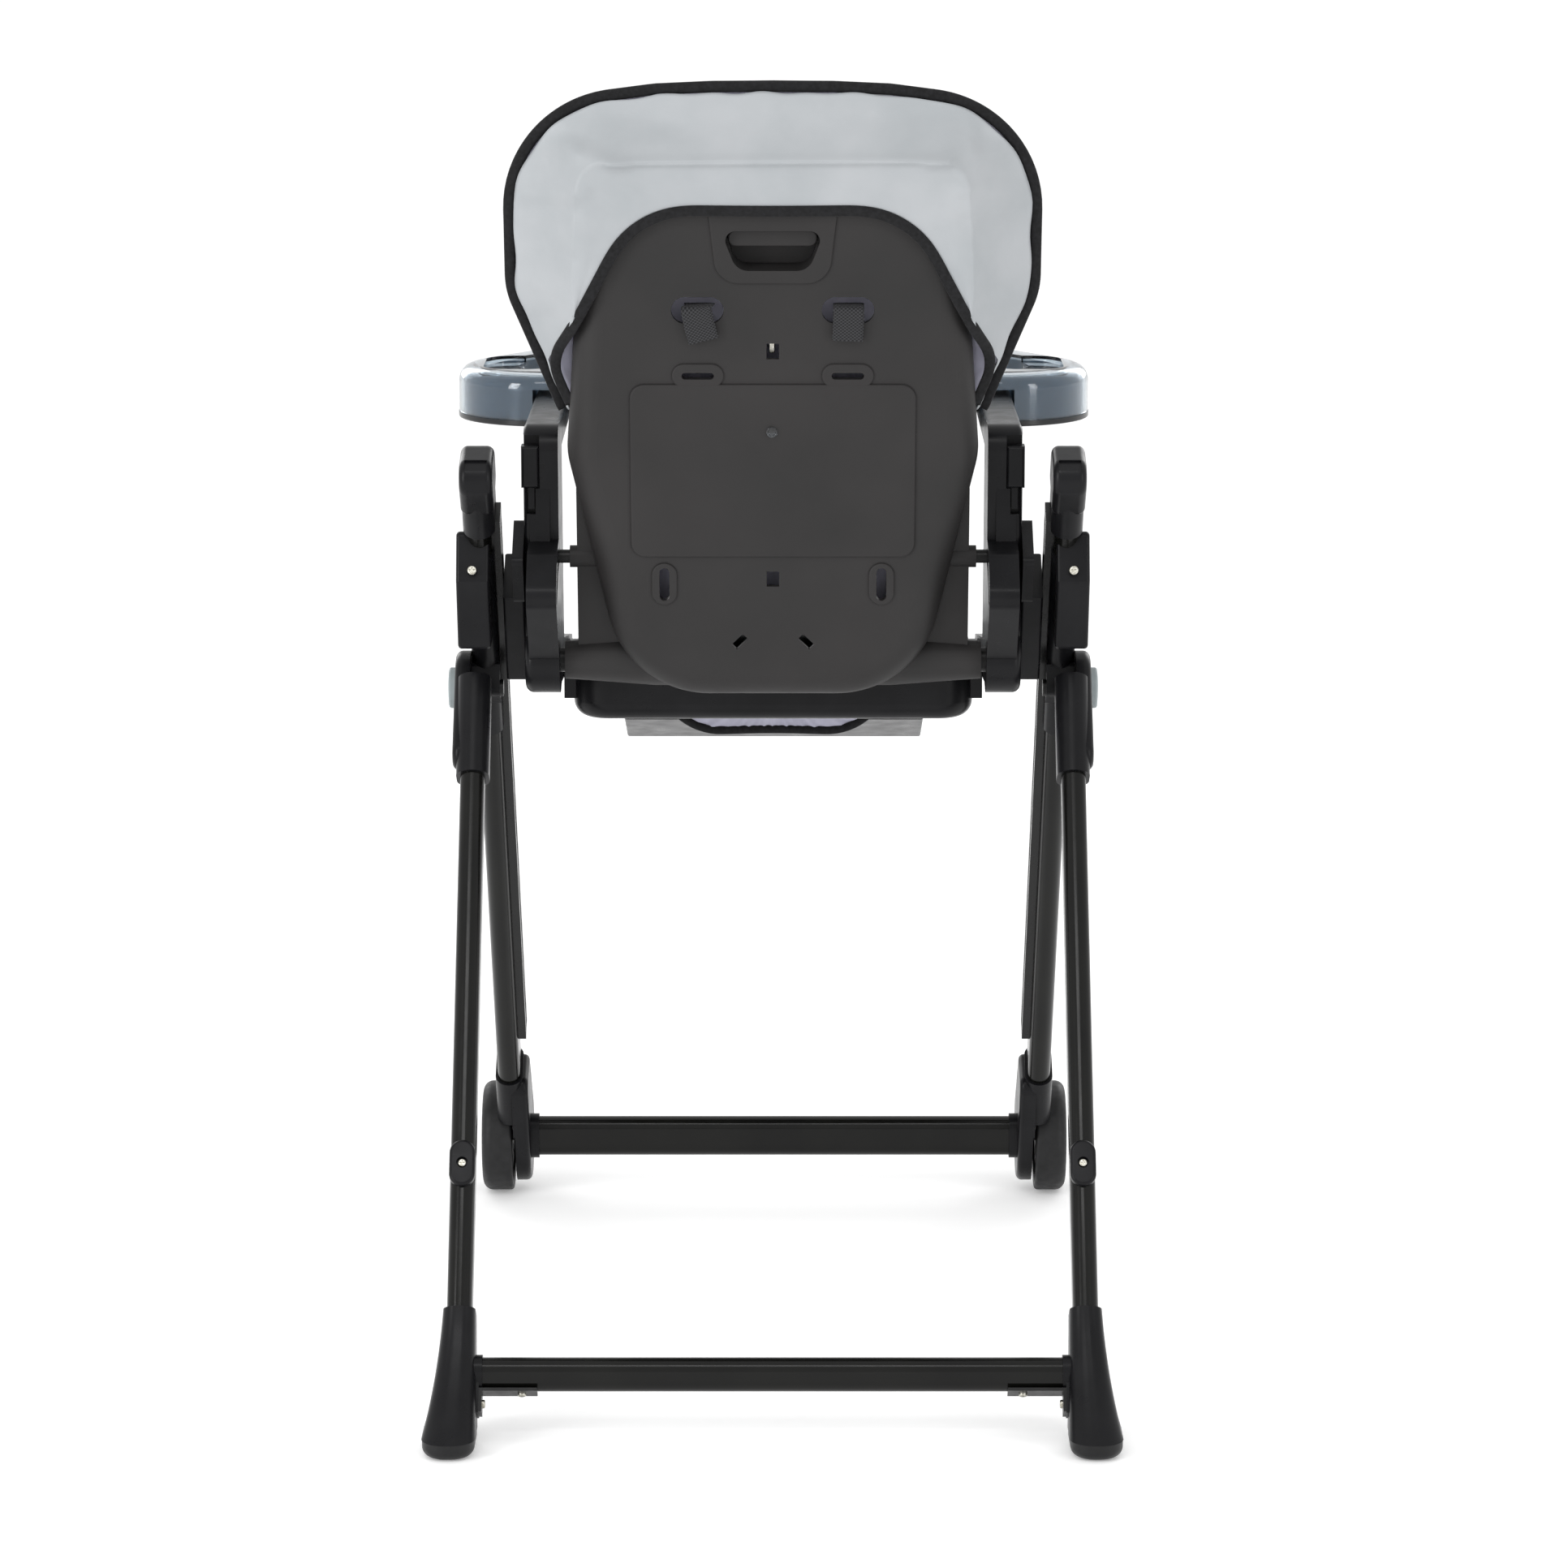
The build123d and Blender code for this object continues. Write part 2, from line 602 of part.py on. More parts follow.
def trigger_pocket():
    """Recess in the arm's back corner for the height trigger and its travel."""
    y = AXLE_Y + 22
    head = block(
        (TRIGGER_X[0] - RUN, 220), (y - 16 - RUN, y + 30), (TRIGGER_Z[0] - 1, TRIGGER_Z[1] + TRIGGER_TRAVEL + 0.5)
    )
    rod_room = block((TRIGGER_X[0] + 3, 201), (y - 12, y + 30), (TRIGGER_Z[0] - 22, TRIGGER_Z[0]))
    return head + rod_room


def height_trigger():
    """Squeeze trigger that frees the height latch, with its pull rod below."""
    y = AXLE_Y + 22
    head = block(TRIGGER_X, (y - 16, y + 3), TRIGGER_Z)
    head = soften(head, head.faces().sort_by(Axis.Y)[-1].edges(), 2.5)
    pull = block((TRIGGER_X[0] + 4, 199.5), (y - 10, y - 4), (TRIGGER_Z[0] - 18, TRIGGER_Z[0]))
    return head + pull


def slider():
    """Height carriage: a block on the arm with a T-shaped shoe that runs in the rail."""
    length = 92.0
    z0 = SLIDER_Z - length / 2 * COS
    x0, x1 = ARM_X[1], RAIL_X[0] - RUN
    body = extrude(front_plane(z0, (x0 + x1) / 2) * RectangleRounded(x1 - x0, 54, 2), amount=length)
    flare = side(
        make_hull(
            [
                *(Pos(*hub_point(-10, 132)) * Circle(6)).edges(),
                *(Pos(*hub_point(-52, 132)) * Circle(6)).edges(),
                *(Pos(*hub_point(-52, 96)) * Circle(6)).edges(),
                *(Pos(*hub_point(-10, 96)) * Circle(6)).edges(),
            ]
        ),
        x0,
        x0 + 9,
    )
    stem = extrude(front_plane(z0 + 2, RAIL_X[0] + 1) * Rectangle(4.6, 8.4), amount=length - 6)
    shoe = extrude(front_plane(z0 + 2, RAIL_X[0] + 4) * Rectangle(2.4, 15.4), amount=length - 6)
    return body + flare + stem + shoe


def seat_crossbar():
    """Steel axle between the arms that the backrest turns on."""
    reach = ARM_X[0] + 20
    return rod(-reach, reach, AXLE_Y, AXLE_Z, AXLE_R) - rod(-reach, reach, AXLE_Y, AXLE_Z, AXLE_R - 2)


PAN_X = 174.5
PAN_Y = (HUB_Y - SEAT_FRONT, AXLE_Y - 33)
PAN_Z = (504.0, 552.0)


def seat_pan():
    """Open-topped moulded seat pan with a rolled front edge, feet for the footrest hinge and strap slots."""
    y0, y1 = PAN_Y
    outer = block((-PAN_X + 8, PAN_X - 8), (y0, y1), PAN_Z)
    outer = soften(outer, outer.edges().filter_by(Axis.Z), 30)
    outer = soften(outer, outer.faces().sort_by(Axis.Z)[0].edges(), 14)
    inner = block((-PAN_X + 12, PAN_X - 12), (y0 + 4, y1 - 4), (PAN_Z[0] + 4, PAN_Z[1] + 10))
    inner = soften(inner, inner.edges().filter_by(Axis.Z), 26)
    inner = soften(inner, inner.faces().sort_by(Axis.Z)[0].edges(), 10)
    pan = outer - inner
    for x in (-PAN_X + 6, PAN_X - 6):
        pan += block((x - 6, x + 6), (y0 + 60, y1 - 20), (520, 545))
    pan = pan + mirror(footrest_ear(), about=Plane.YZ) + footrest_ear()
    pan -= block((-12, 12), (y0 + 118, y0 + 123), (PAN_Z[0] - 2, PAN_Z[0] + 8))
    return pan - hinge_bores()


# ---------------------------------------------------------------- footrest
FOOT_HINGE = (HUB_Y - SEAT_FRONT + 16, 492.0)
FOOTREST_DROP = 20.0     # the footrest's arms point this far below the horizontal
FOOTREST_ARM = 150.0
FOOTREST_ARM_X = (107.0, 123.0)
PLATE_FROM = 62.0        # back edge of the foot plate, along the arms
PLATE_DEEP = 96.0
PLATE_HALF = 132.0
EAR_X = ((100.0, 106.5), (123.5, 130.0))


def footrest_ear():
    """Two ears under the pan that hold one footrest arm."""
    y, z = FOOT_HINGE
    profile = make_hull([*(Pos(y, z) * Circle(9)).edges(), *(Pos(y + 6, z + 7) * Circle(7.5)).edges()])
    ears = side(profile, *EAR_X[0]) + side(profile, *EAR_X[1])
    return ears


def hinge_bores():
    y, z = FOOT_HINGE
    return rod(-EAR_X[1][1] - 1, EAR_X[1][1] + 1, y, z, 4)


def footrest_pin():
    y, z = FOOT_HINGE
    return rod(EAR_X[0][0] - 1.5, EAR_X[1][1] + 1.5, y, z, 4)


def footrest_point(along, above):
    """(Y, Z) from the footrest hinge, along its arms and above them."""
    a = math.radians(FOOTREST_DROP)
    y, z = FOOT_HINGE
    return (y - along * math.cos(a) - above * math.sin(a), z - along * math.sin(a) + above * math.cos(a))


def footrest_frame():
    """Two hinged arms and the hollow foot plate, moulded in one."""
    arm_profile = make_hull(
        [
            *(Pos(*FOOT_HINGE) * Circle(9)).edges(),
            *(Pos(*footrest_point(FOOTREST_ARM, 0)) * Circle(8)).edges(),
        ]
    )
    arm = side(arm_profile, *FOOTREST_ARM_X)
    arm += mirror(arm, about=Plane.YZ)
    # The plate is a shallow tub with rounded lower corners, open to the back between two ribs.
    drop = math.radians(FOOTREST_DROP)
    across = Plane(
        origin=(0, *footrest_point(PLATE_FROM, -4)), x_dir=(1, 0, 0), z_dir=(0, math.cos(drop), math.sin(drop))
    )
    section = hull_of([(PLATE_HALF - 21, -9.0, 21.0), (PLATE_HALF - 2, 10.0, 2.0)])
    hollow = hull_of([(PLATE_HALF - 21, -8.0, 18.0), (PLATE_HALF - 5, -4.0, 2.0)])
    plate = extrude(across * section, amount=-PLATE_DEEP)
    plate = soften(plate, plate.faces().sort_by(Axis.Y)[0].edges(), 3)
    plate -= extrude(across * hollow, amount=-PLATE_DEEP + 4)
    ribs = extrude(across * (Pos(118, -10) * Rectangle(2.5, 34)), amount=-PLATE_DEEP + 2)
    ribs += extrude(across * (Pos(96, -10) * Rectangle(2.5, 34)), amount=-PLATE_DEEP + 2)
    ribs = (ribs + mirror(ribs, about=Plane.YZ)) & extrude(across * section, amount=-PLATE_DEEP)
    frame = arm + plate + ribs
    y, z = FOOT_HINGE
    return frame - rod(-FOOTREST_ARM_X[1] - 1, FOOTREST_ARM_X[1] + 1, y, z, 4 + 0.08)


# ---------------------------------------------------------------- backrest, in its own upright frame
SHELL_REAR = 40.0        # back face of the shell, behind the axle
SHELL_FRONT = -14.0
SHELL_CIRCLES = ((95.0, 380.0, 58.0), (106.0, 190.0, 60.0), (52.0, 62.0, 84.0))
SHELL_T = 4.0


def back_plane(depth):
    """Upright plane behind the axle. Extruding goes forward."""
    return Plane(origin=(0, depth, 0), x_dir=(1, 0, 0), z_dir=(0, -1, 0))


def grown(circles, by):
    return [(x, y, r + by) for x, y, r in circles]


def shell_block(inset, rear, front, round_r):
    """The backrest's outline as a block with a rounded back edge."""
    solid = extrude(back_plane(rear) * hull_of(grown(SHELL_CIRCLES, -inset)), amount=rear - front)
    return soften(solid, solid.faces().sort_by(Axis.Y)[-1].edges(), round_r)


def through(sketch, y0=0.0, y1=60.0):
    """A cut through the back of the shell."""
    return extrude(back_plane(y1) * sketch, amount=y1 - y0)


def backrest_shell():
    """Moulded bucket with a handle pocket, strap slots, a raised panel and the axle sleeve."""
    shell = shell_block(0, SHELL_REAR, SHELL_FRONT, 24)
    shell -= shell_block(SHELL_T, SHELL_REAR - SHELL_T, SHELL_FRONT - 1, 20)
    # Lower skirt, seen beside the bucket's rounded foot.
    cavity = shell_block(SHELL_T, SHELL_REAR - SHELL_T, SHELL_FRONT - 30, 20)
    skirt = block((-160, 160), (2, 6), (15, 150)) - cavity
    shell += skirt
    # Axle sleeve, thicker towards the middle.
    for sign in (1, -1):
        cone = Plane(origin=(sign * 171, 0, 0), x_dir=(0, 1, 0), z_dir=(-sign, 0, 0))
        shell += loft([cone * Circle(15.5), cone.offset(75) * Circle(21)])
    shell += side(Circle(21), -97, 97)
    # Raised panel.
    panel = extrude(back_plane(SHELL_REAR + 2.5) * (Pos(0, 176) * RectangleRounded(230, 146, 12)), amount=5)
    panel = soften(panel, panel.faces().sort_by(Axis.Y)[-1].edges(), 2)
    shell += panel
    # Rims round the strap slots and the handle pocket.
    rims = []
    for x in (-60, 60):
        rims.append(Pos(x, 256) * SlotOverall(42, 20))
    for x in (-88, 88):
        rims.append(Pos(x, 80) * SlotOverall(36, 21, rotation=90))
    for rim in rims:
        raised = extrude(back_plane(SHELL_REAR + 2) * rim, amount=6)
        shell += soften(raised, raised.faces().sort_by(Axis.Y)[-1].edges(), 1.5)
    surround_outline = hull_of([(46.0, 404.0, 7.0), (27.0, 352.0, 20.0)])
    surround = extrude(back_plane(SHELL_REAR + 2) * surround_outline, amount=6)
    shell += soften(surround, surround.faces().sort_by(Axis.Y)[-1].edges(), 1.5)
    # Openings.
    for x in (-60, 60):
        shell -= through(Pos(x, 256) * SlotOverall(26, 5.6))
        shell -= through(Pos(x, 310) * SlotOverall(42, 22))
    for x in (-88, 88):
        shell -= through(Pos(x, 80) * SlotOverall(28, 8, rotation=90), 24)
    for h in (276, 84):
        shell -= through(Pos(0, h) * Rectangle(10, 13), 24)
    for x in (-33, 33):
        shell -= through(Pos(x, 391) * Rectangle(11, 7), 24)
    for x in (-27, 27):
        turn = 45 if x < 0 else -45
        shell -= extrude(back_plane(60) * (Pos(x, 30) * Rectangle(13, 6, rotation=turn)), amount=36)
    # Handle pocket: open to the back, with a floor, and room above the mouth for the handle's travel.
    shell += extrude(back_plane(SHELL_REAR) * handle_outline(3, HANDLE_TRAVEL + 1), amount=26)
    shell -= extrude(back_plane(60) * handle_outline(0), amount=60 - SHELL_REAR + 10)
    shell -= extrude(back_plane(SHELL_REAR - SHELL_T) * handle_outline(0, HANDLE_TRAVEL + 1), amount=19)
    # Bore for the axle, and sleeves for the lock pins.
    for sign in (1, -1):
        x0, x1 = sorted((sign * 120, sign * 166))
        shell += rod_local(x0, x1, LOCK_R, 9) - cavity_without_wings()
        shell -= rod_local(*sorted((sign * 118, sign * 172)), LOCK_R, LOCK_PIN_R)
    shell -= side(Circle(AXLE_R + 0.05), -180, 180)
    return BACK * shell


def rod_local(x0, x1, height, radius):
    return side(Pos(0, height) * Circle(radius), x0, x1)


def cavity_without_wings():
    """The space of the backrest pad, which the lock pin's sleeve keeps out of."""
    return block((-118, 118), (-60, 36), (0, 420))


def handle_outline(grow, rise=0.0):
    """Rounded trapezium of the recline handle's pocket, grown by a margin and made taller at the top."""
    return hull_of([(29.5, 367.5 + rise, 8 + grow), (19.0, 357.0, 14 + grow)])


HANDLE_TRAVEL = 6.0


def recline_handle():
    """Finger bar across the top of the pocket, pulled up to free the recline lock."""
    outline = Pos(0, 368) * RectangleRounded(71, 13.4, 6)
    bar = extrude(back_plane(SHELL_REAR - SHELL_T - RUN) * outline, amount=15)
    bar = soften(bar, bar.faces().sort_by(Axis.Y)[-1].edges(), 1.5)
    return BACK * bar


def lock_pin():
    return BACK * rod_local(122, ARM_X[0] + 8, LOCK_R, LOCK_PIN_R)


# ---------------------------------------------------------------- soft pieces
HOOD_CIRCLES = ((118.0, 384.0, 96.0), (148.0, 330.0, 66.0), (0.0, 395.0, 93.0), (166.0, 222.0, 9.0))
HOOD_BACK_CIRCLES = ((92.0, 378.0, 62.0), (118.0, 316.0, 42.0), (0.0, 383.0, 60.0), (157.0, 228.0, 4.0))
HOOD_FRONT = 2.0
HOOD_REAR = 50.0
HOOD_T = 3.5


def hood_outline(grow=0.0):
    """Outer edge of the head end of the cover, pulled in towards its two lower corners."""
    return hull_of(grown(HOOD_CIRCLES, grow))


def hood_opening():
    """The arched edge of the pocket, which the backrest shell shows through."""
    return hull_of([(66.0, 322.0, 74.0), (147.0, 240.0, 38.0), (120.0, 60.0, 60.0)])


def head_pocket():
    """Sheet cover behind the head: closed over the top and sides, open in an arch below."""
    outer = loft(
        [back_plane(HOOD_FRONT) * hood_outline(), back_plane(HOOD_REAR) * hull_of(HOOD_BACK_CIRCLES)], ruled=True
    )
    inner = loft(
        [
            back_plane(HOOD_FRONT) * hood_outline(-HOOD_T),
            back_plane(HOOD_REAR - HOOD_T) * hull_of(grown(HOOD_BACK_CIRCLES, -HOOD_T)),
        ],
        ruled=True,
    )
    hood = outer - inner - through(hood_opening(), -20, 80)
    hood -= block((-200, 200), (-5, 80), (0, 262))
    return BACK * hood


PAD_T = 22.0


def backrest_pad():
    """Padded front of the backrest: wide at the head, inside the bucket below the armrests."""
    low_circles = ((97.0, 190.0, 50.0), (60.0, 70.0, 44.0), (95.0, 360.0, 50.0))
    low = extrude(back_plane(8) * hull_of(low_circles), amount=PAD_T + 12)
    head = extrude(back_plane(1.5) * hood_outline(-0.5), amount=PAD_T)
    head -= block((-300, 300), (-60, 60), (-60, 224))
    head -= shell_block(-1, SHELL_REAR, SHELL_FRONT - 0.5, 24)
    pad = low + head
    pad -= shell_block(-1, SHELL_REAR, SHELL_FRONT - 1, 24) - shell_block(SHELL_T + 1, 36, -80, 16)
    pad -= block((-200, 200), (9, 60), (-30, 500))
    pad -= rod_local(-180, 180, 0, 22)
    solids = sorted(pad.solids(), key=lambda s: s.volume)
    return BACK * solids[-1]


def seat_pad():
    """Seat cushion in the pan, level with its rim and proud in the middle."""
    y0, y1 = PAN_Y
    pad = block((-158, 158), (y0 + 8, y1 - 8), (PAN_Z[0] + 14, 572))
    pad = soften(pad, pad.edges().filter_by(Axis.Z), 24)
    pad = soften(pad, pad.faces().sort_by(Axis.Z)[-1].edges(), 10)
    return pad


FLAP_ALONG = 27.0        # the flap, from the footrest's hinge along its arms
FLAP_Z = (448.0, 501.0)
FLAP_T = 6.0


def calf_flap():
    """Front flap of the cover, hanging from the seat's front edge between the footrest's arms."""
    y, _ = footrest_point(FLAP_ALONG, 0)
    sheet = Plane(origin=(0, y, FLAP_Z[0]), x_dir=(1, 0, 0), z_dir=(0, -1, 0))
    flap = extrude(sheet * hull_of([(48.0, 56.0, 56.0)]), amount=FLAP_T)
    return flap - block((-110, 110), (y - FLAP_T - 1, y + 1), (FLAP_Z[1], FLAP_Z[1] + 80))


def harness_strap(x_top, x_low):
    """Shoulder strap lying on the backrest pad, ending in a tongue."""
    y = 8 - PAD_T - 12 - 0.5
    path = Polyline((x_top, 310), (x_low, 84))
    strap = extrude(back_plane(y) * trace(path, 25), amount=2)
    return BACK * strap


def strap_tongue(x):
    y = 8 - PAD_T - 12 - 0.5
    tongue = extrude(back_plane(y + 0.0) * (Pos(x, 66) * RectangleRounded(30, 32, 6)), amount=6)
    return BACK * tongue


def strap_end():
    """Webbing end pulled through an upper slot and folded down over the back of the shell."""
    y = SHELL_REAR + 0.4
    loop = block((48, 72.5), (y, y + 2.6), (289, 317))
    loop += block((48, 72.5), (SHELL_REAR - 12, y + 2.6), (314.4, 317))
    return BACK * loop


def crotch_strap():
    y0, y1 = PAN_Y
    return block((-12, 12), (y0 + 96, y0 + 170), (572.4, 574.4))


def buckle():
    y0, y1 = PAN_Y
    box = block((-26, 26), (y0 + 52, y0 + 96), (572.4, 584))
    return soften(box, box.edges(), 4)


# ---------------------------------------------------------------- tray
TRAY_CIRCLES = ((193.0, 240.0, 80.0), (96.0, 330.0, 110.0))
CHANNEL_X = (ARM_X[0] - 2.0, ARM_X[1] + 2.0)
CHANNEL_TOP = 761.0


DECK_Z = 771.0           # top of the coloured deck
DECK_T = 3.5


def tray_outline(grow=0.0):
    """Wide D shape, hollowed at the back for the child's body."""
    outline = hull_of([(x, y, r + grow) for x, y, r in TRAY_CIRCLES])
    return outline - Pos(0, 118) * Circle(118 - grow)


def tray_level(z, sketch):
    """Puts a sketch, drawn with y ahead of the pivot, at height z."""
    return Plane(origin=(0, HUB_Y, z), x_dir=(1, 0, 0), z_dir=(0, 0, -1)) * sketch


def arm_channels(top):
    """The two slots that the armrests slide into, open below and behind."""
    cut = block(CHANNEL_X, (HUB_Y - 264, HUB_Y + 60), (600, top))
    return cut + mirror(cut, about=Plane.YZ)


def tray_base():
    """Lower tray: a flat rim and a raised deck, with a channel over each armrest."""
    rim = extrude(tray_level(TRAY_Z[0] + 5, tray_outline()), amount=5)
    rim = soften(rim, rim.faces().sort_by(Axis.Z)[0].edges(), 1.5)
    deck = extrude(tray_level(DECK_Z, tray_outline(-5)), amount=DECK_Z - TRAY_Z[0])
    deck = soften(deck, deck.faces().sort_by(Axis.Z)[-1].edges(), 11)
    hollow = extrude(tray_level(DECK_Z - DECK_T, tray_outline(-8.5)), amount=DECK_Z - DECK_T - TRAY_Z[0])
    hollow = soften(hollow, hollow.faces().sort_by(Axis.Z)[-1].edges(), 8)
    tunnels = block((CHANNEL_X[0] - 3, CHANNEL_X[1] + 3), (HUB_Y - 268, HUB_Y - 158), (TRAY_Z[0], DECK_Z - 1))
    tunnels += mirror(tunnels, about=Plane.YZ)
    tunnels &= deck
    base = rim + (deck - hollow) + tunnels
    wells = food_well(4.0, 18.0) + side_wells(4.0, 10.0)
    floors = (food_well(7.0, 21.0) + side_wells(7.0, 13.0)) & deck
    base = base + floors - wells
    base -= arm_channels(CHANNEL_TOP)
    base -= release_slot()
    return base


def food_well(grow, depth):
    """Recess for food in the middle of the tray, its floor depth below the top face."""
    outline = hull_of([(172.0, 268.0, 50.0 + grow), (90.0, 330.0, 76.0 + grow)])
    outline -= Pos(0, 118) * Circle(156 - grow)
    return extrude(tray_level(TRAY_Z[1] + 4, outline), amount=depth + 4)


def side_wells(grow, depth):
    """Shallow recess on each side of the tray."""
    outline = Pos(220, 240) * RectangleRounded(60 + 2 * grow, 100 + 2 * grow, 24 + grow)
    wells = extrude(tray_level(TRAY_Z[1] + 4, outline), amount=depth + 4)
    return wells + mirror(wells, about=Plane.YZ)


def tray_cover():
    """Clear lift-off cover that fits over the whole tray, with a sunk food well."""
    outer = extrude(tray_level(TRAY_Z[1], tray_outline(-0.5)), amount=TRAY_Z[1] - TRAY_Z[0] - 5.3)
    outer = soften(outer, outer.faces().sort_by(Axis.Z)[-1].edges(), 14)
    inner = extrude(tray_level(TRAY_Z[1] - 3, tray_outline(-3.5)), amount=60)
    inner = soften(inner, inner.faces().sort_by(Axis.Z)[-1].edges(), 11)
    cover = outer - inner
    well = food_well(0.0, 14.0) + side_wells(0.0, 6.0)
    floor = ((food_well(2.5, 16.5) + side_wells(2.5, 8.5)) & outer) - well
    cover = cover - well + floor
    return cover - arm_channels(CHANNEL_TOP + 1)


def release_slot():
    return block((-31, 31), (HUB_Y - 441, HUB_Y - 388), (TRAY_Z[0] - 1, TRAY_Z[0] + 11))


def tray_release():
    """Squeeze lever under the tray's front lip that frees the tray from the armrests."""
    lever = block((-30, 30), (HUB_Y - 430, HUB_Y - 398), (TRAY_Z[0] + 1, TRAY_Z[0] + 9))
    return soften(lever, lever.edges().filter_by(Axis.Z), 6)


# ---------------------------------------------------------------- assembly
def build():
    both("front_leg", front_leg())
    both("height_rail", height_rail())
    both("leg_cap", leg_cap())
    both("hub_sleeve", hub_sleeve())
    both("wheel_bracket", wheel_bracket())
    parts["front_crossbar"] = front_crossbar()
    pair("hub_pivot_pins", hub_pin())
    pair("wheel_axles", wheel_axle())
    pair("sleeve_screws", screw(sleeve_screw_plane(), 12))
    both("wheel_tyre", wheel_tyre())
    both("wheel_core", wheel_core())

    both("rear_leg", rear_leg())
    both("rear_bracket", rear_bracket())
    both("fold_button", fold_button())
    both("rear_foot", rear_foot())
    pair("foot_pads", foot_pad())
    parts["rear_crossbar"] = rear_crossbar()
    pair("corner_brackets", corner_bracket())
    pair("corner_screws", *[screw(p, 9, 3.4) for p in corner_screw_planes()])
    pair("tube_joint_collars", joint_collar())
    pair("tube_joint_screws", screw(joint_screw_plane(), 16, 3.4))

    both("side_arm", side_arm())
    both("height_slider", slider())
    both("height_trigger", height_trigger())
    parts["recline_axle"] = seat_crossbar()
    parts["seat_pan"] = seat_pan()
    pair("footrest_pins", footrest_pin())
    parts["footrest_frame"] = footrest_frame()

    parts["backrest_shell"] = backrest_shell()
    parts["recline_handle"] = recline_handle()
    both("recline_lock_pin", lock_pin())
    parts["head_pocket"] = head_pocket()
    parts["backrest_pad"] = backrest_pad()
    parts["seat_pad"] = seat_pad()
    parts["calf_flap"] = calf_flap()
    pair("shoulder_straps", harness_strap(60, 34))
    pair("strap_tongues", strap_tongue(34))
    pair("strap_ends", strap_end())
    parts["crotch_strap"] = crotch_strap()
    parts["harness_buckle"] = buckle()

    parts["tray_base"] = tray_base()
    parts["tray_cover"] = tray_cover()
    parts["tray_release"] = tray_release()


build()
os.makedirs("parts", exist_ok=True)
for name, shape in parts.items():
    export_step(shape, f"parts/{name}.step")
print(len(parts), "nodes, folding pivot at y", round(HUB_Y, 2))
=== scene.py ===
# %% [markdown]
# # A folding high chair
#
# The chair stands with its back to the camera. Its hard pieces come from the CAD frame and only get
# their finish here. The soft pieces, which CAD holds as plain solids, are made here: the head pocket of
# the cover, the cushions, the calf flap, the bindings and the webbing.

# %% Load the frame
import json
import math

import bmesh
import bpy
from mathutils import Matrix, Vector


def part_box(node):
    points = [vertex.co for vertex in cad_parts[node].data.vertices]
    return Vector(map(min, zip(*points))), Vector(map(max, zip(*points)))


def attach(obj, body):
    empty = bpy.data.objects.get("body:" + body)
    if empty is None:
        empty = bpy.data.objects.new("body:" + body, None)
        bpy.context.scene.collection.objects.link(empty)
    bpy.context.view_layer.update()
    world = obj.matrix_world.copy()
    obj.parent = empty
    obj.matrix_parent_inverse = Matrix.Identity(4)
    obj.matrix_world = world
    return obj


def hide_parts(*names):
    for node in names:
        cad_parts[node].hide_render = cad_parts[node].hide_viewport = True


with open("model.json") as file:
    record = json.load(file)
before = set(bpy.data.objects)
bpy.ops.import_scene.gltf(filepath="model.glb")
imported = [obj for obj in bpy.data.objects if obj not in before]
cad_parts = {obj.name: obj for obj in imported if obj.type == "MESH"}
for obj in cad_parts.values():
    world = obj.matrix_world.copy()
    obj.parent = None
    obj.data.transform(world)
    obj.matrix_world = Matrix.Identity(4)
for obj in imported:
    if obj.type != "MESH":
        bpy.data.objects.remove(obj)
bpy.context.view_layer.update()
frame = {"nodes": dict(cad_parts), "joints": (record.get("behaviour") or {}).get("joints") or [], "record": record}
nodes = frame["nodes"]
joints = {joint["name"]: joint for joint in frame["joints"]}
bpy.ops.object.select_all(action="DESELECT")

# %% [markdown]
# ## Places
#
# The backrest leans back from its axle. Everything on it is easiest to draw upright, as x across the
# chair, h up the backrest and d behind the axle, and then turn with one function. The axle's place is
# read from the recline joint, so the soft pieces follow the CAD if it moves.

# %% The backrest's own directions
MM = 0.001
AXLE = Vector(joints["recline"]["pos_m"])
LEAN = math.radians(10)


def on_back(x, h, d):
    """A point of the upright backrest drawing, in millimetres, as a place in the frame."""
    y = h * math.sin(LEAN) + d * math.cos(LEAN)
    z = h * math.cos(LEAN) - d * math.sin(LEAN)
    return Vector((x * MM, AXLE.y + y * MM, AXLE.z + z * MM))


hub = Vector(joints["fold"]["pos_m"])
print("axle", tuple(round(v, 4) for v in AXLE), "hub", tuple(round(v, 4) for v in hub))

# %% [markdown]
# ## Camera
#
# A long lens a little over four metres behind the chair keeps the legs nearly parallel. The camera
# looks slightly down, so the tops of the tray and crossbars show.

# %% Camera
# Metres behind the hub, to the side of the middle and above the floor.
CAMERA_BACK, CAMERA_SIDE, CAMERA_HEIGHT = 4.3, -0.009, 1.313
CAMERA_DOWN = 11.33   # degrees below level
camera_data = bpy.data.cameras.new("camera")
camera_data.lens = 120.75
camera_data.sensor_width = 36
camera = bpy.data.objects.new("camera", camera_data)
camera.location = (CAMERA_SIDE, hub.y + CAMERA_BACK, CAMERA_HEIGHT)
camera.rotation_euler = (math.radians(90 - CAMERA_DOWN), 0, math.pi)
bpy.context.collection.objects.link(camera)
bpy.context.scene.camera = camera

# %% [markdown]
# ## Studio
#
# The floor is a pale disc so wide that the camera, looking down, never sees its rim. The surroundings
# are evenly white. Soft area lights behind, above and in front of the chair give the long reflections
# that make black tube and moulded plastic readable.

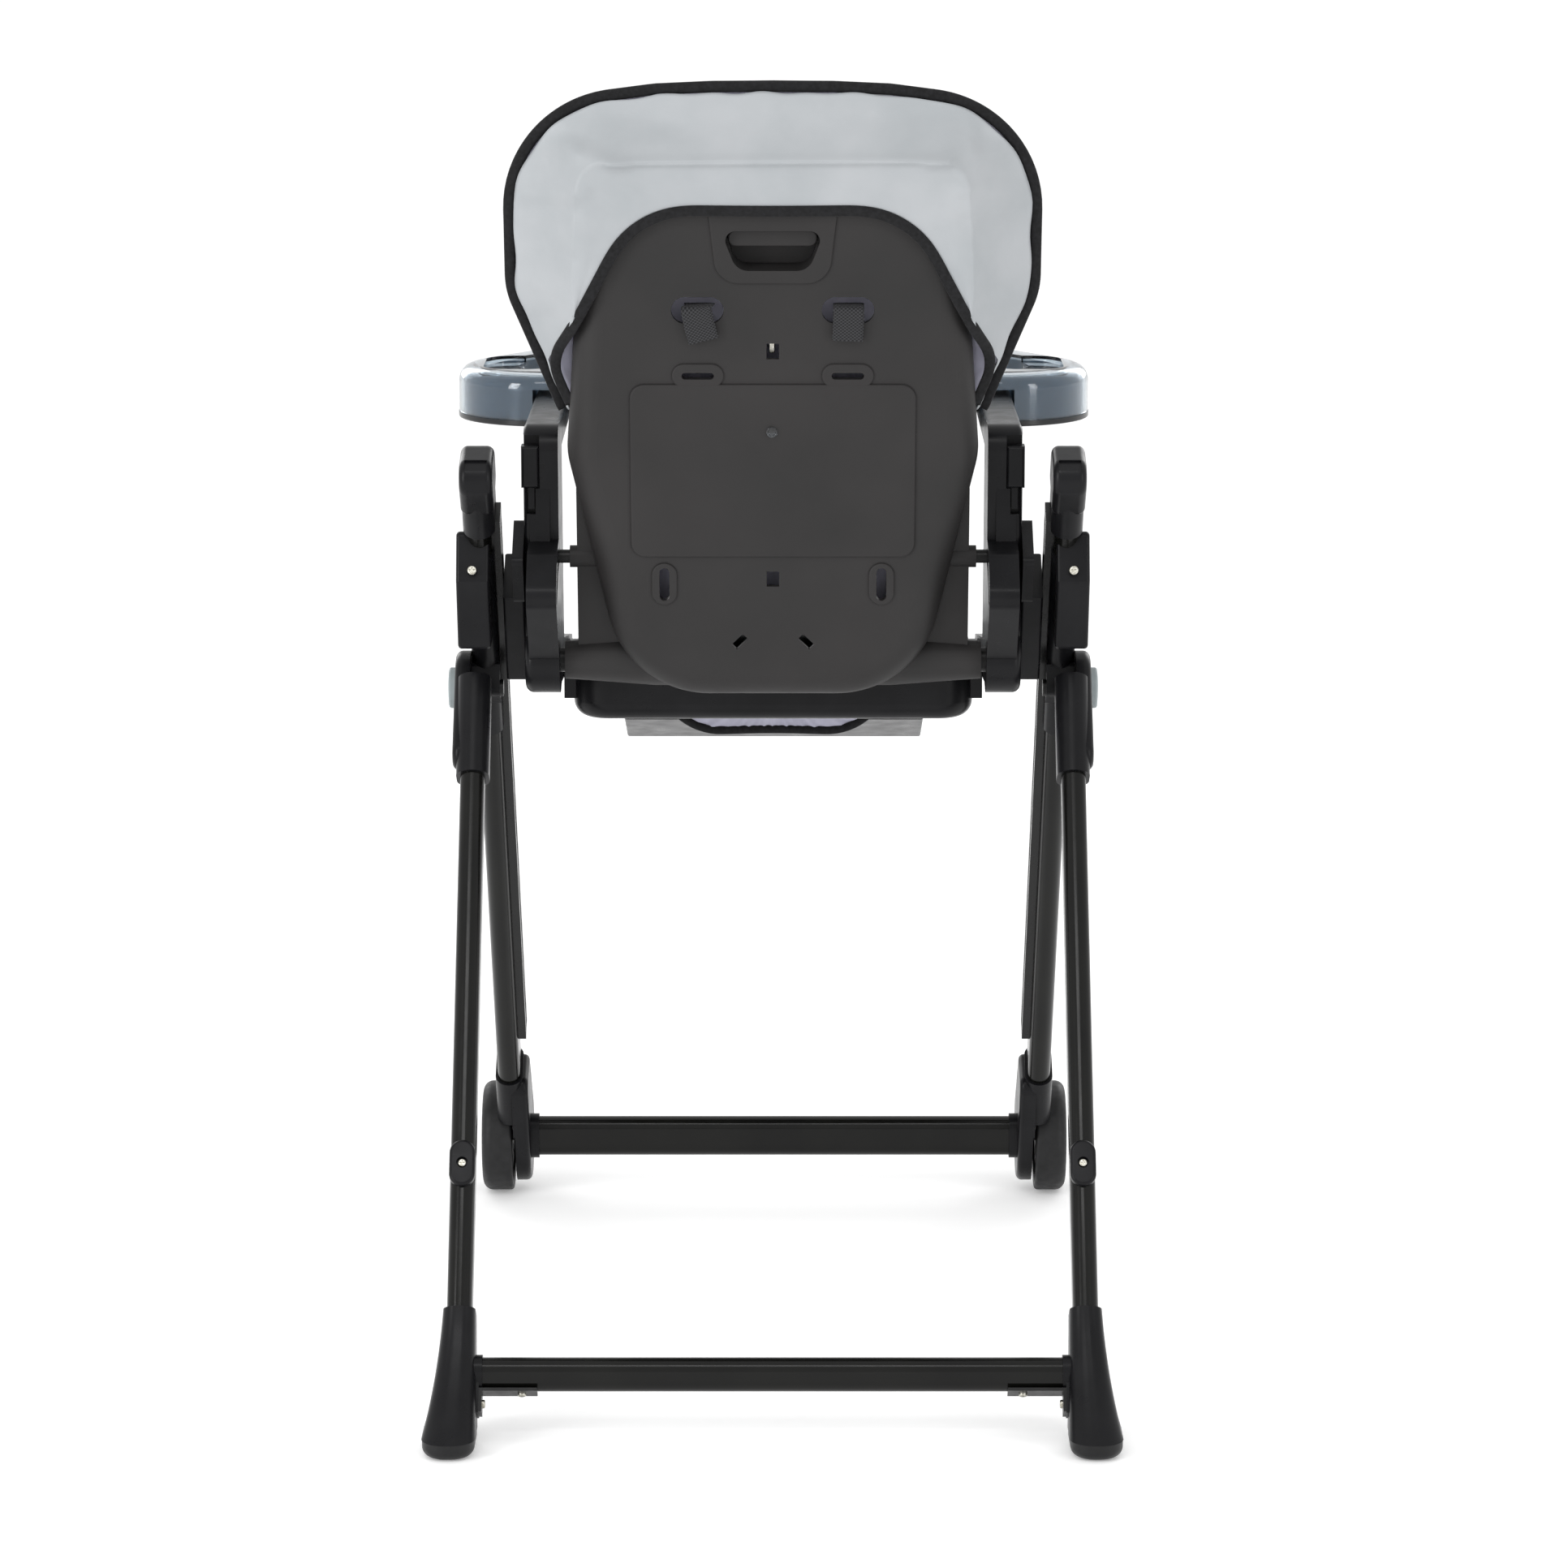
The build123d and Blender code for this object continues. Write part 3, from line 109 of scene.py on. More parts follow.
# %% Floor and lights
FLOOR_RADIUS, FLOOR_DROP = 60, -0.0005   # metres
bpy.context.scene.view_settings.view_transform = "Standard"
bpy.ops.mesh.primitive_circle_add(
    vertices=128, radius=FLOOR_RADIUS, fill_type="NGON", location=(0, 0, FLOOR_DROP)
)
floor = bpy.context.object
floor.name = "studio_floor"
floor.data.transform(floor.matrix_world)
floor.matrix_world = Matrix()
bpy.ops.object.select_all(action="DESELECT")


def area_light(name, place, aim, size, watts):
    """A soft rectangular light at place, turned to aim."""
    data = bpy.data.lights.new(name, "AREA")
    data.shape = "RECTANGLE"
    data.size, data.size_y = size
    data.energy = watts
    light = bpy.data.objects.new(name, data)
    light.location = place
    light.rotation_euler = (Vector(aim) - Vector(place)).to_track_quat("-Z", "Y").to_euler()
    bpy.context.collection.objects.link(light)


WORLD_LEVEL = 0.95
area_light("window_left", (3.0, 2.6, 1.6), (0, 0, 0.7), (0.9, 2.4), 52)
area_light("window_right", (-3.2, 2.8, 1.4), (0, 0, 0.6), (0.7, 2.4), 24)
area_light("overhead", (0.3, 2.2, 2.9), (0, 0, 0.8), (1.6, 0.5), 12)
area_light("front_left", (1.8, -3.0, 1.8), (0, 0, 0.5), (1.2, 2.0), 22)
area_light("front_right", (-1.8, -3.0, 1.8), (0, 0, 0.5), (1.2, 2.0), 22)
world = bpy.data.worlds.new("studio")
bpy.context.scene.world = world
world.use_nodes = True
world.node_tree.nodes["Background"].inputs["Color"].default_value = (1, 1, 1, 1)
world.node_tree.nodes["Background"].inputs["Strength"].default_value = WORLD_LEVEL

# %% [markdown]
# ## Finishes
#
# Every finish is built from the same few moves: a base colour that varies a little, a roughness that
# varies a little, and a bump whose scale comes from the real surface. One function turns a hex colour to
# linear values and one adds a node with its settings and its links.

# %% Helpers for finishes


def linear(hex_colour, alpha=1.0):
    """An sRGB hex colour as linear RGBA."""
    values = [int(hex_colour[i : i + 2], 16) / 255 for i in (1, 3, 5)]
    return (*[v / 12.92 if v <= 0.04045 else ((v + 0.055) / 1.055) ** 2.4 for v in values], alpha)


def add_node(material, kind, inputs=None, **settings):
    """Adds a node; an input is a value, or another node's output, which is linked."""
    made = material.node_tree.nodes.new(kind)
    for name, value in settings.items():
        setattr(made, name, value)
    for name, value in (inputs or {}).items():
        socket = made.inputs[name]
        if isinstance(value, bpy.types.NodeSocket):
            material.node_tree.links.new(value, socket)
        else:
            socket.default_value = value
    return made


def new_material(name, **shader):
    """A material with its principled shader, whose even values are set on the shader itself."""
    material = bpy.data.materials.new(name)
    material.use_nodes = True
    principled = material.node_tree.nodes["Principled BSDF"]
    for socket, value in shader.items():
        principled.inputs[socket.replace("_", " ")].default_value = value
    return material, principled


def link(material, output, shader, socket):
    material.node_tree.links.new(output, shader.inputs[socket])


def per_mm(size):
    """A noise or wave scale, in pattern repeats per metre, for a feature of that many millimetres."""
    return 1000 / size


def place_of(material):
    return add_node(material, "ShaderNodeTexCoord").outputs["Object"]


def mottled(material, shader, dark, light, size, detail=3.0, low=0.35, high=0.65):
    """Base colour that drifts between two close shades in patches of that size, in millimetres."""
    noise = add_node(
        material,
        "ShaderNodeTexNoise",
        {"Vector": place_of(material), "Scale": per_mm(size), "Detail": detail},
    )
    ramp = add_node(material, "ShaderNodeValToRGB", {"Fac": noise.outputs["Fac"]})
    ramp.color_ramp.elements[0].position, ramp.color_ramp.elements[1].position = low, high
    ramp.color_ramp.elements[0].color, ramp.color_ramp.elements[1].color = linear(dark), linear(light)
    link(material, ramp.outputs["Color"], shader, "Base Color")
    return noise


def uneven_gloss(material, shader, smooth, rough, size):
    """Roughness that drifts between two values, as handling and moulding leave it."""
    noise = add_node(
        material, "ShaderNodeTexNoise", {"Vector": place_of(material), "Scale": per_mm(size), "Detail": 4.0}
    )
    spread = add_node(
        material,
        "ShaderNodeMapRange",
        {"Value": noise.outputs["Fac"], "From Min": 0.3, "From Max": 0.7, "To Min": smooth, "To Max": rough},
    )
    link(material, spread.outputs["Result"], shader, "Roughness")


def grain(material, shader, size, depth, strength=1.0, detail=2.0):
    """A fine bump of that grain size and depth, in millimetres."""
    noise = add_node(
        material,
        "ShaderNodeTexNoise",
        {"Vector": place_of(material), "Scale": per_mm(size), "Detail": detail},
    )
    bump = add_node(
        material,
        "ShaderNodeBump",
        {"Height": noise.outputs["Fac"], "Distance": depth * MM, "Strength": strength},
    )
    link(material, bump.outputs["Normal"], shader, "Normal")
    return bump


# %% [markdown]
# ### Gloss black powder coat on steel tube
#
# Powder coat flows out in the oven, so it is glossy but never mirror flat: it has a soft ripple of about
# two millimetres, called orange peel. A coat layer over a slightly rough black gives the sharp highlight
# on top of a softer one.

# %% Powder-coated steel
powder_coat, shader = new_material(
    "powder_coated_steel", Coat_Weight=0.06, Coat_Roughness=0.05, Specular_IOR_Level=0.2
)
mottled(powder_coat, shader, "#090908", "#0F0F0D", 60)
uneven_gloss(powder_coat, shader, 0.14, 0.24, 25)
grain(powder_coat, shader, 2.2, 0.02)

# %% [markdown]
# ### Satin black moulded nylon
#
# The hubs, feet, arms and brackets are filled nylon from a polished tool. It scuffs easily, so its gloss
# wanders in patches and a few of them are greyer.

# %% Satin black nylon
nylon, shader = new_material("satin_black_nylon", Specular_IOR_Level=0.16)
mottled(nylon, shader, "#0F0F11", "#151517", 35)
uneven_gloss(nylon, shader, 0.26, 0.36, 18)
grain(nylon, shader, 2.4, 0.006)

# %% [markdown]
# ### Textured black polypropylene
#
# The backrest shell is a large thin moulding with a spark-eroded texture: a fine, even grain that takes
# nearly all gloss away and turns black to a warm charcoal under soft light.

# %% Textured polypropylene
polypropylene, shader = new_material("textured_black_polypropylene", Specular_IOR_Level=0.3)
mottled(polypropylene, shader, "#232222", "#292727", 140)
uneven_gloss(polypropylene, shader, 0.5, 0.62, 60)
# The real grain is 0.2 mm; it is drawn at 0.9 mm so that it still shows at this distance.
grain(polypropylene, shader, 0.9, 0.03)

# %% Smooth black acetal of the height rails
acetal, shader = new_material("smooth_black_acetal", Specular_IOR_Level=0.3)
mottled(acetal, shader, "#0E0E0E", "#131313", 40)
uneven_gloss(acetal, shader, 0.2, 0.3, 15)
grain(acetal, shader, 3.0, 0.01)

# %% [markdown]
# ### Metals
#
# Screws are zinc plated: bright, slightly yellow and cloudy. Pins and the corner plates have a dark
# coating that only shows metal as a dull sheen.

# %% Zinc plate and blackened steel
zinc, shader = new_material("zinc_plated_steel", Metallic=1.0)
mottled(zinc, shader, "#A9A699", "#CFCDC4", 2.5)
uneven_gloss(zinc, shader, 0.22, 0.4, 1.5)
grain(zinc, shader, 0.8, 0.02)

blackened, shader = new_material("blackened_steel", Metallic=0.6)
mottled(blackened, shader, "#151515", "#202020", 12)
uneven_gloss(blackened, shader, 0.3, 0.42, 6)
grain(blackened, shader, 1.2, 0.015)

# %% Grey acrylonitrile-butadiene-styrene of the fold buttons
button_abs, shader = new_material("grey_moulded_abs")
mottled(button_abs, shader, "#8A9395", "#959EA0", 20)
uneven_gloss(button_abs, shader, 0.38, 0.5, 8)
grain(button_abs, shader, 0.8, 0.02)

# %% [markdown]
# ### Wheels and feet
#
# The wheels roll on a hard moulded tread, duller than the centre. The foot caps are rubber: very dark,
# soft looking, with dust that lightens it in patches.

# %% Tread, wheel centre and rubber
tread, shader = new_material("hard_black_tread", Specular_IOR_Level=0.3)
mottled(tread, shader, "#141415", "#1B1B1C", 9)
uneven_gloss(tread, shader, 0.42, 0.6, 7)
grain(tread, shader, 1.1, 0.04)

wheel_plastic, shader = new_material("satin_black_wheel_centre", Specular_IOR_Level=0.3)
mottled(wheel_plastic, shader, "#151518", "#1D1D21", 15)
uneven_gloss(wheel_plastic, shader, 0.3, 0.42, 8)
grain(wheel_plastic, shader, 1.5, 0.02)

rubber, shader = new_material("moulded_rubber", Specular_IOR_Level=0.3)
mottled(rubber, shader, "#101011", "#161617", 14)
uneven_gloss(rubber, shader, 0.3, 0.5, 10)
grain(rubber, shader, 1.4, 0.03)

# %% [markdown]
# ### Tray plastics
#
# The tray is smoke-blue styrene under a clear cover. The clear plastic is nearly colourless, but its
# thick edges gather light. The tray's lowest rim is black.

# %% Smoke-blue and clear styrene
RIM_LOW, RIM_HIGH = 0.7346, 0.7362   # heights between which black turns to blue, in metres
smoke_tray, shader = new_material("smoke_blue_styrene", Specular_IOR_Level=0.4)
height = add_node(smoke_tray, "ShaderNodeSeparateXYZ", {"Vector": place_of(smoke_tray)})
rim = add_node(
    smoke_tray,
    "ShaderNodeMapRange",
    {"Value": height.outputs["Z"], "From Min": RIM_LOW, "From Max": RIM_HIGH},
)
blue = add_node(smoke_tray, "ShaderNodeTexNoise", {"Vector": place_of(smoke_tray), "Scale": per_mm(90)})
shade = add_node(
    smoke_tray,
    "ShaderNodeMix",
    {"Factor": blue.outputs["Fac"], "A": linear("#4C5E70"), "B": linear("#566979")},
    data_type="RGBA",
)
tray_colour = add_node(
    smoke_tray,
    "ShaderNodeMix",
    {"Factor": rim.outputs["Result"], "A": linear("#17181A"), "B": shade.outputs["Result"]},
    data_type="RGBA",
)
link(smoke_tray, tray_colour.outputs["Result"], shader, "Base Color")
uneven_gloss(smoke_tray, shader, 0.16, 0.26, 30)
grain(smoke_tray, shader, 4.0, 0.015)

clear_tray, shader = new_material(
    "clear_styrene", Base_Color=linear("#DCE4EA"), Transmission_Weight=1.0, IOR=1.49
)
uneven_gloss(clear_tray, shader, 0.04, 0.09, 25)
grain(clear_tray, shader, 6.0, 0.01)

# %% [markdown]
# ### Cover fabrics
#
# The cover is a soft polyurethane-coated cloth: smooth and cool grey, with a faint leather grain and a
# broad low sheen. Its lining is a thin lilac-white cloth. Edges are bound with black woven tape.

# %% Coated cloth, lining and tape
coated_cloth, shader = new_material(
    "coated_cloth_grey", Specular_IOR_Level=0.4, Sheen_Weight=0.05, Sheen_Roughness=0.5
)
mottled(coated_cloth, shader, "#9B9FA2", "#A5A8AB", 70, detail=4.0)
uneven_gloss(coated_cloth, shader, 0.4, 0.52, 30)
pores = add_node(
    coated_cloth,
    "ShaderNodeTexVoronoi",
    {"Vector": place_of(coated_cloth), "Scale": per_mm(1.6)},
    feature="F1",
)
soft_dents = add_node(
    coated_cloth, "ShaderNodeTexNoise", {"Vector": place_of(coated_cloth), "Scale": per_mm(38), "Detail": 2.0}
)
dents = add_node(
    coated_cloth,
    "ShaderNodeBump",
    {"Height": soft_dents.outputs["Fac"], "Distance": 1.2 * MM, "Strength": 0.5},
)
pore_bump = add_node(
    coated_cloth,
    "ShaderNodeBump",
    {
        "Height": pores.outputs["Distance"],
        "Distance": 0.04 * MM,
        "Strength": 0.5,
        "Normal": dents.outputs["Normal"],
    },
)
link(coated_cloth, pore_bump.outputs["Normal"], shader, "Normal")

lining, shader = new_material("lilac_lining", Specular_IOR_Level=0.2, Sheen_Weight=0.3)
mottled(lining, shader, "#B5B4C6", "#C0BFD0", 12)
uneven_gloss(lining, shader, 0.75, 0.9, 6)
grain(lining, shader, 0.9, 0.1)

tape, shader = new_material("black_binding_tape", Specular_IOR_Level=0.2, Sheen_Weight=0.06)
mottled(tape, shader, "#121213", "#1B1B1D", 3)
uneven_gloss(tape, shader, 0.7, 0.85, 4)
# A diagonal wave of scale 1 turns through 10 radians per metre along each axis. At this scale its soft
# bands are about 10 mm apart, and 18 mm along an axis. Real ribs of about 1.4 mm are too fine to show.
RIB_SCALE = per_mm(28)
ribs = add_node(
    tape,
    "ShaderNodeTexWave",
    {"Vector": place_of(tape), "Scale": RIB_SCALE, "Distortion": 1.0},
    bands_direction="DIAGONAL",
)
rib_bump = add_node(
    tape, "ShaderNodeBump", {"Height": ribs.outputs["Fac"], "Distance": 0.15 * MM, "Strength": 0.7}
)
link(tape, rib_bump.outputs["Normal"], shader, "Normal")

# %% [markdown]
# ### Harness webbing
#
# Polypropylene webbing is a coarse weave: fat threads across, held by thinner ones along. It reads the
# strap's own UV map in metres, u along and v across, so the weave follows every bend. Two waves
# multiplied give the bead pattern of thread crossings. The yarn is one black, but the colour follows the
# beads: a painted highlight on each crossing and painted shade in the dips between them.

# %% Woven webbing
# Real threads cross every 1.5 mm or so; they are drawn at 2.6 mm so that they show.
THREAD_MM = 2.6
webbing, shader = new_material("woven_webbing", Specular_IOR_Level=0.3, Sheen_Weight=0.05)
uv = add_node(webbing, "ShaderNodeUVMap", uv_map="strap").outputs["UV"]
parts_uv = add_node(webbing, "ShaderNodeSeparateXYZ", {"Vector": uv})
turns = 2 * math.pi / (THREAD_MM * MM)
along = add_node(
    webbing, "ShaderNodeMath", {0: parts_uv.outputs["X"], 1: turns}, operation="MULTIPLY"
)
across = add_node(
    webbing, "ShaderNodeMath", {0: parts_uv.outputs["Y"], 1: turns * 0.8}, operation="MULTIPLY"
)
wave_along = add_node(webbing, "ShaderNodeMath", {0: along.outputs[0]}, operation="SINE")
wave_across = add_node(webbing, "ShaderNodeMath", {0: across.outputs[0]}, operation="SINE")
crossing = add_node(
    webbing, "ShaderNodeMath", {0: wave_along.outputs[0], 1: wave_across.outputs[0]}, operation="MULTIPLY"
)
bead = add_node(
    webbing,
    "ShaderNodeMapRange",
    {"Value": crossing.outputs[0], "From Min": -1.0, "From Max": 1.0},
)
# Painted light: the colour follows the weave's height, with a painted highlight on each crossing and painted shade
# in the dips between them.
painted_weave_light = add_node(
    webbing,
    "ShaderNodeMix",
    {"Factor": bead.outputs["Result"], "A": linear("#030304"), "B": linear("#3A3A3D")},
    data_type="RGBA",
)
link(webbing, painted_weave_light.outputs["Result"], shader, "Base Color")
thread_gloss = add_node(
    webbing,
    "ShaderNodeMapRange",
    {"Value": bead.outputs["Result"], "To Min": 0.8, "To Max": 0.5},
)
link(webbing, thread_gloss.outputs["Result"], shader, "Roughness")
thread_bump = add_node(
    webbing, "ShaderNodeBump", {"Height": bead.outputs["Result"], "Distance": 0.8 * MM, "Strength": 1.0}
)
link(webbing, thread_bump.outputs["Normal"], shader, "Normal")

# %% Floor paper
# The paper gives off a little light of its own, so that its far part stays as white as the near part.
paper, shader = new_material(
    "pale_floor_paper", Specular_IOR_Level=0.1, Emission_Color=linear("#FFFFFF"), Emission_Strength=0.22
)
mottled(paper, shader, "#F0F0F0", "#F2F2F2", 400)
uneven_gloss(paper, shader, 0.5, 0.6, 200)
floor.data.materials.append(paper)

# %% [markdown]
# ## Finishes on the CAD pieces
#
# The imported record says which slot each node belongs to. Each slot gets the finish that the real piece
# has. The nodes keep their shape.

# %% Give each node its finish
FINISH = {
    "black_tube": powder_coat,
    "black_moulding": nylon,
    "shell_plastic": polypropylene,
    "rail_plastic": acetal,
    "steel": zinc,
    "axle_steel": blackened,
    "button_grey": button_abs,
    "tyre_plastic": tread,
    "wheel_core_plastic": wheel_plastic,
    "foot_rubber": rubber,
    "cover_sheet": coated_cloth,
    "cushion_cover": coated_cloth,
    "webbing": webbing,
    "tray_plastic": smoke_tray,
    "tray_clear": clear_tray,
}
for entry in frame["record"]["subparts"]:
    node = nodes[entry["node"]]
    node.data.materials.clear()
    node.data.materials.append(FINISH[entry["material_slot"]])
print("finishes", len(FINISH))

# %% [markdown]
# ## Outlines of the cover
#
# The cover's edges are smooth convex outlines round a few circles, like a string pulled round pegs. A
# point on such an outline is found along a ray from the middle of the head, so that every edge of the
# head pocket has the same number of points and they line up.

# %% Outlines
HEAD = (0.0, 300.0)
EDGE = ((118, 384, 96), (148, 330, 66), (0, 394, 93), (48, 391.5, 95), (86, 388, 96.5), (166, 222, 9))
RIDGE = ((128, 406, 28), (126, 330, 34), (0, 380, 56), (150, 228, 4))
ARCH = ((66, 322, 74), (149, 240, 38), (120, 60, 60))


def outline(pegs, grow=0.0):
    """The convex outline round pegs (x, h, radius), also mirrored, as points in order."""
    points = []
    for x, h, r in pegs:
        for sign in (1, -1):
            for k in range(72):
                t = 2 * math.pi * k / 72
                points.append((sign * x + (r + grow) * math.cos(t), h + (r + grow) * math.sin(t)))
    points = sorted(set((round(a, 4), round(b, 4)) for a, b in points))
    halves = []
    for run in (points, points[::-1]):
        half = []
        for p in run:
            while len(half) > 1:
                (ax, ay), (bx, by) = half[-2], half[-1]
                if (bx - ax) * (p[1] - ay) - (by - ay) * (p[0] - ax) > 0:
                    break
                half.pop()
            half.append(p)
        halves += half[:-1]
    return halves


def reach(points, angle, centre=HEAD):
    """Distance from the centre to an outline, along a ray at an angle from straight up."""
    dx, dh = math.sin(angle), math.cos(angle)
    best = 0.0
    for (ax, ay), (bx, by) in zip(points, points[1:] + points[:1]):
        ex, ey = bx - ax, by - ay
        cross = dx * ey - dh * ex
        if abs(cross) < 1e-9:
            continue
        ox, oy = ax - centre[0], ay - centre[1]
        along_ray = (ox * ey - oy * ex) / cross
        share = (ox * dh - oy * dx) / cross
        if 0 <= share <= 1 and along_ray > best:
            best = along_ray
    return best


edge_line, ridge_line, arch_line = outline(EDGE), outline(RIDGE), outline(ARCH)
TAIL_END = (169.0, 218.0)   # where the pocket's two tails end, as x and h
TAIL = math.atan2(TAIL_END[0], TAIL_END[1] - HEAD[1])
print("cover edge points", len(edge_line), "tail angle", round(math.degrees(TAIL), 1))

# %% [markdown]
# ## Head pocket
#
# The head end of the cover is a pocket that hangs over the shell like a hood. Its cloth runs from the
# sewn outer edge back to the rim of the shell, turns over it, and ends in a bound arch. It is one
# sheet, pulled tight over the shell's corners, so it is drawn as rows of points between those three
# edges, with the folds that tight cloth shows at the corners and slack cloth shows at the sides.

# %% Head pocket cloth
ACROSS = 240
ROWS_SIDE, ROWS_BACK = 22, 22
BOUND = 8.0       # width of the tape round the cover's edge
FOLD_GAIN = 1.1   # makes every fold that much higher


def fold(x, h, at, to, width, height):
    """A soft ridge or dent along a line from at to to, in millimetres."""
    ax, ah = at
    ux, uh = to[0] - ax, to[1] - ah
    length = math.hypot(ux, uh)
    along_line = ((x - ax) * ux + (h - ah) * uh) / length
    off_line = ((x - ax) * uh - (h - ah) * ux) / length
    beyond = max(0.0, -along_line, along_line - length)
    return FOLD_GAIN * height * math.exp(-((off_line / width) ** 2) - (beyond / (width * 1.2)) ** 2)


# Folds as (start, end, width, height), in x and h: from the corners of the shell, and across the sides.
FOLDS = (
    ((-140, 434), (128, 432), 3.0, 4.0),
    ((-120, 426), (110, 425), 9, -1.2),
    ((154, 438), (118, 431), 5, 3.2),
    ((156, 440), (180, 468), 7, 2.6),
    ((150, 446), (188, 452), 6, -3.0),
    ((160, 430), (196, 424), 7, 2.4),
    ((-158, 438), (-122, 430), 5, 3.4),
    ((-158, 440), (-156, 476), 5, 2.4),
    ((-164, 444), (-190, 446), 6, -2.6),
    ((-164, 430), (-200, 436), 6, 2.2),
    ((204, 398), (150, 408), 6, 2.6),
    ((206, 384), (158, 392), 6, -2.4),
    ((204, 362), (164, 352), 9, -2.0),
    ((204, 330), (172, 324), 8, 2.2),
    ((196, 292), (178, 300), 7, -1.6),
    ((-202, 404), (-150, 410), 6, 2.6),
    ((-204, 386), (-152, 384), 6, -2.2),
    ((-206, 358), (-166, 350), 9, 1.8),
    ((-202, 326), (-170, 330), 8, -2.0),
    ((-196, 290), (-182, 300), 7, 1.5),
    ((70, 476), (-60, 470), 14, 1.8),
    ((126, 466), (74, 456), 10, -1.8),
    ((-70, 462), (-126, 470), 10, -1.6),
    ((90, 404), (30, 410), 10, 0.8),
    ((-40, 416), (-110, 398), 10, -0.8),
)
SEAM_D, RIM_D = 3.0, 46.0   # depth of the sewn edge and of the shell's rim


def slope_depth(share):
    """Depth of the cloth from the sewn edge (0) to the shell's rim (1), sagging a little between."""
    return SEAM_D + (RIM_D - SEAM_D) * share - 5.0 * math.sin(math.pi * share)


def pocket_point(angle, row):
    """A point of the pocket: row 0 is the sewn edge, row 1 the shell's rim and row 2 the bound arch."""
    r_edge, r_rim, r_arch = (reach(line, angle) for line in (edge_line, ridge_line, arch_line))
    r_sewn = r_edge - BOUND + 0.6 * math.sin(angle * 31) + 0.5 * math.sin(angle * 17 + 1)
    r_arch = min(r_arch, r_sewn - 1.2)
    r_turn = max(r_rim, r_arch + 0.4)
    if row <= 1:
        r = r_sewn + (r_turn - r_sewn) * row
        d = slope_depth((r_edge - r) / max(1.0, r_edge - r_rim))
    else:
        r = r_turn + (r_arch - r_turn) * (row - 1)
        share = (r_edge - r) / max(1.0, r_edge - r_rim)
        d = slope_depth(share) if share < 1 else RIM_D + 0.8 * math.sin(math.pi * min(1.0, (row - 1) * 1.6))
    x, h = HEAD[0] + r * math.sin(angle), HEAD[1] + r * math.cos(angle)
    lift = sum(fold(x, h, *f) for f in FOLDS)
    fade = math.sin(math.pi * min(1.0, max(0.0, row / 2))) ** 0.5
    return on_back(x, h, d + lift * fade)


def sheet_mesh(name, grid, closed=False):
    """A quad sheet through a grid of points, rows of equal length."""
    verts = [p for line in grid for p in line]
    wide = len(grid[0])
    faces = []
    for i in range(len(grid) - 1):
        for k in range(wide - 1):
            a = i * wide + k
            faces.append((a, a + 1, a + 1 + wide, a + wide))
        if closed:
            a = i * wide
            faces.append((a + wide - 1, a, a + wide, a + 2 * wide - 1))
    mesh = bpy.data.meshes.new(name)
    mesh.from_pydata([tuple(v) for v in verts], [], faces)
    made = bpy.data.objects.new(name, mesh)
    bpy.context.collection.objects.link(made)
    return made


def face_outwards(piece, towards):
    """Turns every face round if most of them look away from a direction."""
    mesh = piece.data
    total = sum((polygon.area * polygon.normal.dot(Vector(towards)) for polygon in mesh.polygons))
    if total < 0:
        mesh.flip_normals()


def apply_modifier(piece, kind, **settings):
    """Adds a modifier and applies it at once."""
    bpy.ops.object.select_all(action="DESELECT")
    bpy.context.view_layer.objects.active = piece
    piece.select_set(True)
    modifier = piece.modifiers.new(kind.lower(), kind)
    for name, value in settings.items():
        setattr(modifier, name, value)
    bpy.ops.object.modifier_apply(modifier=modifier.name)
    piece.select_set(False)


angles = [-TAIL + 2 * TAIL * k / ACROSS for k in range(ACROSS + 1)]
rows = [k / ROWS_SIDE for k in range(ROWS_SIDE)] + [1 + k / ROWS_BACK for k in range(ROWS_BACK + 1)]
pocket_grid = [[pocket_point(a, row) for a in angles] for row in rows]
head_pocket = sheet_mesh("head_pocket_cloth", pocket_grid)
face_outwards(head_pocket, (0, 1, 0.2))
apply_modifier(head_pocket, "SOLIDIFY", thickness=1.4 * MM, offset=-1)
head_pocket.data.shade_smooth()
head_pocket.data.materials.append(coated_cloth)

# %% [markdown]
# ## Bindings
#
# A binding is a strip of tape folded over a raw edge and stitched. On a bend it stays the same width, so
# it is a flat oval section carried along the edge. Each section stands square to the edge's direction,
# with its flat side in the cloth.

# %% Bindings of the head pocket

def swept(name, path, wide_axes, width, thick, sides=12, closed=False):
    """A flat rounded bar along a path; wide_axes gives the direction of its width at each point."""
    rings = []
    count = len(path)
    for i, p in enumerate(path):
        if closed:
            direction = (path[(i + 1) % count] - path[i - 1]).normalized()
        else:
            direction = (path[min(i + 1, count - 1)] - path[max(i - 1, 0)]).normalized()
        wide = wide_axes[i] - direction * wide_axes[i].dot(direction)
        wide.normalize()
        up = direction.cross(wide)
        ring = []
        for k in range(sides):
            t = 2 * math.pi * k / sides
            c, s = math.cos(t), math.sin(t)
            cw = math.copysign(abs(c) ** 0.6, c)
            st = math.copysign(abs(s) ** 0.8, s)
            ring.append(p + wide * (cw * width / 2) + up * (st * thick / 2))
        rings.append(ring)
    verts = [tuple(v) for ring in rings for v in ring]
    faces = []
    last = count if closed else count - 1
    for i in range(last):
        j = (i + 1) % count
        for k in range(sides):
            n = (k + 1) % sides
            faces.append((i * sides + k, i * sides + n, j * sides + n, j * sides + k))
    if not closed:
        faces.append(tuple(range(sides))[::-1])
        faces.append(tuple((count - 1) * sides + k for k in range(sides)))
    mesh = bpy.data.meshes.new(name)
    mesh.from_pydata(verts, [], faces)
    made = bpy.data.objects.new(name, mesh)
    bpy.context.collection.objects.link(made)
    bm = bmesh.new()
    bm.from_mesh(mesh)
    bmesh.ops.recalc_face_normals(bm, faces=bm.faces)
    bm.to_mesh(mesh)
    bm.free()
    mesh.shade_smooth()
    return made


OUT = (on_back(0, 0, 1) - on_back(0, 0, 0)) / MM


